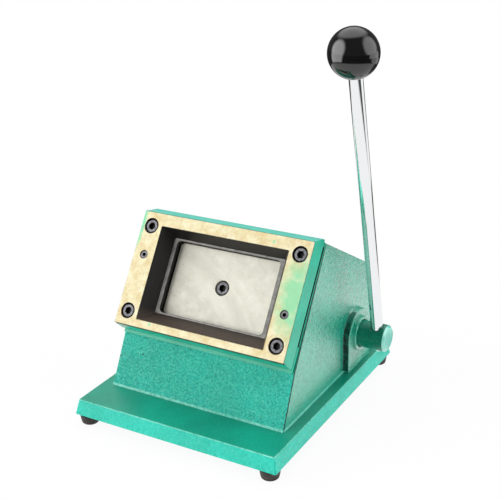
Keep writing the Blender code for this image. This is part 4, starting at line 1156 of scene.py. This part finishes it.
shaft = turned("lever_shaft_painted", [
    (0, left_end), (9.5 * mm, left_end), (shaft_radius, left_end + 0.7 * mm), (shaft_radius, groove_low),
    (groove_radius, groove_low), (groove_radius, groove_high), (shaft_radius, groove_high),
    (shaft_radius, shaft_end - end_chamfer), (shaft_radius - end_chamfer, shaft_end), (0, shaft_end),
])
bevel_sharp(shaft, 0.25 * mm, 2)
lay(shaft, shaft_frame)
combine(shaft, lay(rod("bore", rod_radius + gap, -2 * shaft_radius, 2 * shaft_radius), arm_place))
hole_axis = arm_place.to_3x3() @ Vector((0, 0, 1))


def round_hole(point):
    """True for a point on the wall of the rod's hole."""
    arm = point - arm_place.translation
    return abs((arm - hole_axis * arm.dot(hole_axis)).length - rod_radius - gap) < near


bevel_edges(shaft, 0.3 * mm, 3, lambda a, b: (
    round_hole(a) and round_hole(b) and abs(a.x - b.x) + abs(a.y - b.y) > 0
    and (a - b).length < shaft_radius / 2
))
smooth(shaft)
# Painted light: the shaft's end and chamfer take a pale, lit copy of the green.
lit_end_enamel = enamel("enamel_painted_lit_on_shaft_end", lit_greens, 0.10 * mm, 1.2 * mm, 0.10 * mm, 0.18, 0.0, 1.0)
# Painted shade: the rest of the shaft takes a darker copy of the green.
paint(shaft, shaded_shaft_enamel, lit_end_enamel)
give(shaft, lit_end_enamel, lambda place, normal: normal.x > 0.4 and place.x > middle + lever_plane)

flange_face = pad_face + 0.04 * mm
flange_radius = 13.4 * mm
bush_end = pad_face + 2.3 * mm
bush_inner = half_width(shaft_place.z) - wall - boss_depth + 0.5 * mm
bore_radius = shaft_radius + gap
bush_section = [
    (bore_radius, bush_end - 0.9 * mm), (bore_radius + 0.7 * mm, bush_end),
    (flange_radius - 0.4 * mm, bush_end), (flange_radius, bush_end - 0.4 * mm), (flange_radius, flange_face),
    (bush_radius, flange_face), (bush_radius, bush_inner), (bore_radius, bush_inner),
]
for side, word in ((1, "right"), (-1, "left")):
    bush = turned(f"shaft_bush_{word}_painted", bush_section)
    if side < 0:
        work_on(bush)
        bush.scale = (1, 1, -1)
        bpy.ops.object.transform_apply(scale=True)
        edit(bush)
        bpy.ops.mesh.normals_make_consistent(inside=False)
        bpy.ops.object.mode_set(mode="OBJECT")
    complete(bush, shaft_frame, smooth_enamel)
    pieces[f"shaft_bush_{word}"] = bush
print("shaft:", len(shaft.data.polygons), "faces")

# %% [markdown]
# The rod is chrome plated, so its look is all reflection: the only thing to add is the faint unevenness of
# plating on drawn bar. The knob is moulded black phenolic, polished, with a small flat where it meets the
# rod.

# %% Chrome rod and black knob
def mirror(name, colour, roughness, metallic, ripple, depth, low, high, **sockets):
    """A mirror finish with a slow ripple, which also varies its polish a little."""
    material, tree, shader, place = start(name, roughness, metallic, **sockets)
    film = add(tree, "TexNoise", place, *ripple)
    bump = add(tree, "Bump", Height=film, Distance=depth)
    fill(shader, Base_Color=colour, Normal=bump, Roughness=add(tree, "MapRange", film, 0.2, 0.8, low, high))
    return material


chrome = mirror(
    "chrome_plate_on_steel", "#F0F1F2", 0.06, 1.0, (per(18 * mm), 3.0), 0.015 * mm, 0.03, 0.10,
)
phenolic = mirror(
    "polished_black_phenolic", "#0A0A0B", 0.1, 0.0, (per(14 * mm), 2.0), 0.04 * mm, 0.05, 0.12, IOR=1.7,
)

knob_radius = 16.8 * mm
knob_reach = 230.5 * mm
flat_radius = 7.5 * mm
flat_drop = math.sqrt(knob_radius ** 2 - flat_radius ** 2)
socket_top = 15.0 * mm - flat_drop
rod_foot = -shaft_radius - 0.6 * mm
rod_top = knob_reach + socket_top - 0.3 * mm

lever_rod = turned("lever_rod_chromed", rounded([
    (0, rod_foot), (rod_radius, rod_foot), (rod_radius, rod_top), (0, rod_top),
], 0.7 * mm))
complete(lever_rod, arm_place, chrome)

low_angle = math.atan2(-flat_drop, flat_radius)
steps = 64
angles = [low_angle + (math.pi / 2 - low_angle) * step / steps for step in range(1, steps)]
socket_radius = rod_radius + gap
knob = turned("ball_knob_polished", [
    (0, socket_top), (socket_radius, socket_top), (socket_radius, -flat_drop),
    (flat_radius - 0.4 * mm, -flat_drop),
    *((knob_radius * math.cos(angle), knob_radius * math.sin(angle)) for angle in angles), (0, knob_radius),
])
complete(knob, arm_place @ about(0, 0, knob_reach), phenolic)
print("rod and knob:", len(lever_rod.data.polygons), len(knob.data.polygons), "faces")

# %% [markdown]
# Four rubber feet stand under the base's corners, each a tapered stud with a screw up through it.

# %% Rubber feet
def rubber():
    """Moulded black rubber with a dusty bloom."""
    material, tree, shader, place = start("moulded_black_rubber", 0.62, IOR=1.52)
    dust = add(tree, "TexNoise", place, per(5 * mm), 4.0)
    colour = tinted(tree, dust, 0.4, 0.8, "#211F1E", "#4A433D")
    bump = add(tree, "Bump", Height=add(tree, "TexNoise", place, per(0.8 * mm)), Distance=0.04 * mm)
    fill(shader, Base_Color=colour, Normal=bump)
    return material


foot_top = base_low.z - 0.3 * mm
foot_bore = 2.15 * mm
head_bore = 4.4 * mm
head_bore_top = 3.6 * mm
foot = turned("foot", [
    (head_bore, 0), (5.0 * mm, 0), (5.7 * mm, 0.2 * mm), (6.2 * mm, 0.7 * mm), (6.5 * mm, 1.6 * mm),
    (7.2 * mm, 5.6 * mm), (7.3 * mm, foot_top - 0.4 * mm), (7.0 * mm, foot_top),
    (foot_bore, foot_top), (foot_bore, head_bore_top), (head_bore, head_bore_top),
], 64)
smooth(foot)
paint(foot, rubber())
foot_screw = cap_screw("foot_screw", 10 * mm, 3.7 * mm, 2.4 * mm, 2.0 * mm, 2.5 * mm, 1.4 * mm)
foot_spots = [sum(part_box(f"rubber_foot_{number}"), Vector()) / 2 for number in (1, 2, 3, 4)]
numbered(foot, "rubber_foot", "rubber_foot_moulded", [about(spot.x, spot.y, 0) for spot in foot_spots])
numbered(foot_screw, "foot_screw", "foot_cap_screw", [
    about(spot.x, spot.y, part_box(f"foot_screw_{number}")[0].z) @ flip
    for number, spot in enumerate(foot_spots, 1)
])

# %% [markdown]
# Each new piece now takes the place of its solid and rides on the same body. That makes all of the outside;
# the mechanism follows, so that in the end nothing is left of the plain solids.

# %% Ride and replace
pieces.update(
    base_plate=base, body_casting=body, die_block=die, punch=punch, lever_shaft=shaft, lever_rod=lever_rod,
    ball_knob=knob, guide_plate=guide,
)
body_of = {node: name for name, nodes in frame["record"]["behaviour"]["bodies"].items() for node in nodes}


def take_place(piece, node):
    """Puts a piece in its solid's place, on the same body."""
    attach(piece, body_of[node])
    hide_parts(node)


for node, piece in pieces.items():
    take_place(piece, node)
print("pieces that replace a solid:", len(pieces))

# %% [markdown]
# The mechanism inside shows through the rear window. Its solids already have the right shape, so a copy of
# each one's mesh is joined into whole faces, and its edges are broken with a small bevel, as a fitter does
# with a file. The finishes differ as they do in a real press: a milled ram, a ground cam that grease has
# browned, bronze bushes with turning rings, zinc-plated nuts and washers, and threads at the pins' tails.
# The springs are copies too.

# %% Finishes of the mechanism
def grooved_steel(name, colour, stain, axis, pitch, depth, roughness, metallic=1.0):
    """Metal with even grooves along one direction, as milling, turning or a thread leaves them."""
    material, tree, shader, place = start(name, roughness, metallic)
    film = add(tree, "TexNoise", place, per(7 * mm), 5.0, 0.65)
    colour = tinted(tree, film, 0.45, 0.66, colour, stain)
    along = place if axis == "X" else face_coordinates(tree, place)
    wave_scale = per(pitch) * math.tau / 20
    grooves = add(tree, "TexWave", along, wave_scale, 0.4, 1.0, bands_direction=axis, wave_profile="TRI")
    bump = add(tree, "Bump", Height=grooves.node.outputs["Fac"], Distance=depth)
    sheen = add(tree, "MapRange", film, 0.3, 0.8, roughness, roughness + 0.25)
    fill(shader, Base_Color=colour, Normal=bump, Roughness=sheen)
    return material


milled = grooved_steel("milled_steel", "#B4B3AE", "#8C867A", "Y", 1.6 * mm, 0.02 * mm, 0.34)
ground = grooved_steel("ground_steel", "#C2C1BC", "#9A958A", "Z", 0.7 * mm, 0.006 * mm, 0.22)
greased = grooved_steel("greased_hardened_steel", "#9C968A", "#5E452A", "X", 0.8 * mm, 0.01 * mm, 0.24, 0.85)
thread = grooved_steel("cut_thread_on_steel", "#A9A8A2", "#6E6A60", "Z", 1.25 * mm, 0.35 * mm, 0.34)
turned_bronze = grooved_steel("turned_bearing_bronze", "#C79A5A", "#8F6C3A", "Z", 0.6 * mm, 0.02 * mm, 0.30)
zinc = bare_steel("zinc_plated_steel", "#C9C8BE", "#A6A48F", 0.34, 0.9, 4 * mm, 0.03 * mm)
spring_wire = bare_steel("oiled_spring_wire", "#5A5C60", "#3A3C40", 0.3, 1.0, 6 * mm, 0.02 * mm)


# %% Mechanism pieces
def refined(node, radius, *finishes):
    """A copy of a solid, its triangles joined into faces and its edges rounded, which replaces it."""
    source = frame["nodes"][node]
    mesh = source.data.copy()
    mesh.transform(source.matrix_world)
    thing = bpy.data.objects.new(f"{node}_finished", mesh)
    bpy.context.collection.objects.link(thing)
    join_flat(thing, weld, 0.5)
    if radius:
        bevel_sharp(thing, radius, 2)
    smooth(thing)
    paint(thing, *finishes)
    take_place(thing, node)
    pieces[node] = thing
    return thing


thread_top = -64.5 * mm
for node, radius, finish in (
    ("ram", 0.4 * mm, milled), ("cam", 0.3 * mm, greased), ("cam_key", 0.2 * mm, ground),
    ("cam_set_screw", 0, black_steel), ("cam_roller", 0, greased), ("roller_pin", 0.2 * mm, ground),
    ("retaining_ring", 0.15 * mm, black_steel),
):
    refined(node, radius, finish)
for number in (1, 2):
    pin = refined(f"guide_pin_{number}", 0.15 * mm, ground, thread)
    give(pin, thread, lambda place, normal: in_face(place).z < thread_top)
    refined(f"guide_bush_{number}", 0.15 * mm, turned_bronze)
    refined(f"stop_washer_{number}", 0.15 * mm, zinc)
    refined(f"stop_nut_{number}", 0.15 * mm, zinc)
    refined(f"punch_dowel_{number}", 0, ground)
    spring = refined(f"return_spring_{number}", 0, spring_wire)
    ends = sorted((in_face(vertex.co).z, vertex.co.copy()) for vertex in spring.data.vertices)
    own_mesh(spring)

# %% [markdown]
# The machine stands on a plain white sweep in a light tent. The camera sees the floor white but for the
# soft shadow. Chrome and black plastic show where the white paper ends: a sheet under the machine and a
# second one behind it to the right, with a dark gap between them, and further out the feet of the tent's
# bright panels. The tent glows from the front left, from the right and from above, and is dark elsewhere.

# %% Floor and light
def tent_panel(tree, direction, toward, inner, outer, strength):
    """The glow of one soft panel of the tent, from its middle's direction and its two angles."""
    towards = add(tree, "VectorMath", direction, Vector(toward).normalized(), operation="DOT_PRODUCT")
    rim, full = (math.cos(math.radians(angle)) for angle in (outer, inner))
    return add(tree, "MapRange", towards, rim, full, 0, strength, interpolation_type="SMOOTHSTEP")


def paper_sheet(tree, place, x, y, full, end):
    """One sheet of paper as a mirror shows it: white out to one radius and gone at the next."""
    away = add(tree, "VectorMath", place, (x, y, 0), operation="DISTANCE")
    return add(tree, "MapRange", away, end, full, interpolation_type="SMOOTHSTEP")


# Lengths here are in metres: where a sheet's middle is, how far it is white, and where it ends.
sheet_under = (0.04, 0.06, 0.42, 0.50)
sheet_behind = (0.65, 0.60, 0.36, 0.44)
# Two dark spots painted on the paper to the rear and the right of the machine, seen only in mirrors: painted
# shadow that darkens the reflections on the machine's right side. The last value of each spot is how much of
# the white it takes.
painted_shadow_spots = ((0.108, 0.136, 0.014, 0.028, 0.85), (0.210, 0.400, 0.11, 0.19, 0.9))
# Where two panels meet the floor: the direction, the inner and outer angles, the strength and the distance.
panel_feet = (((-0.80, -0.60, 0), 24, 36, 3.0, 0.42), ((0.84, 0.54, 0), 22, 32, 1.5, 0.9))
dark_tent = 0.06
camera_white = 0.94


def white_floor():
    """White to the camera but for the shadow; in reflections it is white only where the paper lies."""
    material = bpy.data.materials.new("white_sweep")
    material.use_nodes = True
    tree = material.node_tree
    tree.nodes.clear()
    path = add(tree, "LightPath").node.outputs
    place = add(tree, "TexCoord").node.outputs["Object"]
    sheets = [paper_sheet(tree, place, *sheet) for sheet in (sheet_under, sheet_behind)]
    white = add(tree, "Math", *sheets, operation="MAXIMUM")
    bearing = add(tree, "VectorMath", place, operation="NORMALIZE")
    away = add(tree, "VectorMath", place, operation="LENGTH")
    for *panel, reach in panel_feet:
        beyond = add(tree, "MapRange", away, reach, 1.2 * reach)
        foot = add(tree, "Math", tent_panel(tree, bearing, *panel), beyond, operation="MULTIPLY")
        white = add(tree, "Math", white, foot, operation="MAXIMUM")
    for *spot, depth in painted_shadow_spots:
        shade = add(tree, "MapRange", paper_sheet(tree, place, *spot), 0, 1, 1, 1 - depth)
        white = add(tree, "Math", white, shade, operation="MULTIPLY")
    white = add(tree, "Math", white, dark_tent, operation="MAXIMUM")
    seen = add(tree, "Math", path["Is Camera Ray"], camera_white, operation="MULTIPLY")
    share = add(tree, "Math", seen, path["Is Glossy Ray"], operation="MAXIMUM")
    strength = add(tree, "Mix", path["Is Glossy Ray"], 1.0, white, data_type="FLOAT")
    paper = add(tree, "BsdfDiffuse", "#F4F4F2")
    glow = add(tree, "Emission", "#FFFFFF", strength)
    add(tree, "OutputMaterial", add(tree, "MixShader", share, paper, glow))
    return material


bpy.ops.object.select_all(action="DESELECT")
floor_width = 14
bpy.ops.mesh.primitive_plane_add(size=floor_width)
floor = newest("floor")
paint(floor, white_floor())

# Each panel of the tent: its direction, its inner and outer angles in degrees, and its strength.
tent_panels = (
    ((-0.78, -0.58, 0.25), 24, 40, 3.5),
    ((0.86, 0.33, 0.36), 26, 42, 1.8),
    ((-0.25, 0.35, 0.90), 28, 44, 1.5),
)
tent_glow = 0.12
world = bpy.data.worlds.new("light_tent")
bpy.context.scene.world = world
world.use_nodes = True
tent = world.node_tree
looking = add(tent, "TexCoord").node.outputs["Generated"]
total = tent_glow
for panel in tent_panels:
    total = add(tent, "Math", total, tent_panel(tent, looking, *panel), operation="ADD")
to_camera = add(tent, "LightPath").node.outputs["Is Camera Ray"]
fill(tent.nodes["Background"], "#FFFFFF", add(tent, "Math", total, to_camera, operation="MAXIMUM"))

# %% [markdown]
# The camera was worked out from the photograph: known lengths, such as the card's, tell how far away it stood
# and how long its lens was. It looks down from the operator's right at about twenty-two degrees.

# %% Camera
camera_azimuth = math.radians(29.784)
camera_elevation = math.radians(21.619)
camera_roll = math.radians(-0.833)
camera_distance = 749.9 * mm
camera_target = Vector((middle + 1.19 * mm, 12.6 * mm, 112.0 * mm))
image_scale = 1013 / 500
sensor = 36.0
sideways_shift = 0.0023

camera = bpy.data.cameras.new("portrait")
camera.sensor_width = sensor
camera.lens = sensor * image_scale
camera.shift_x = sideways_shift
viewer = bpy.data.objects.new("portrait", camera)
bpy.context.collection.objects.link(viewer)
back = Vector((
    math.sin(camera_azimuth) * math.cos(camera_elevation),
    -math.cos(camera_azimuth) * math.cos(camera_elevation),
    math.sin(camera_elevation),
))
viewer.matrix_world = (
    Matrix.Translation(camera_target + back * camera_distance)
    @ back.to_track_quat("Z", "Y").to_matrix().to_4x4()
    @ Matrix.Rotation(camera_roll, 4, "Z")
)
bpy.context.scene.camera = viewer
bpy.context.scene.view_settings.view_transform = "Standard"
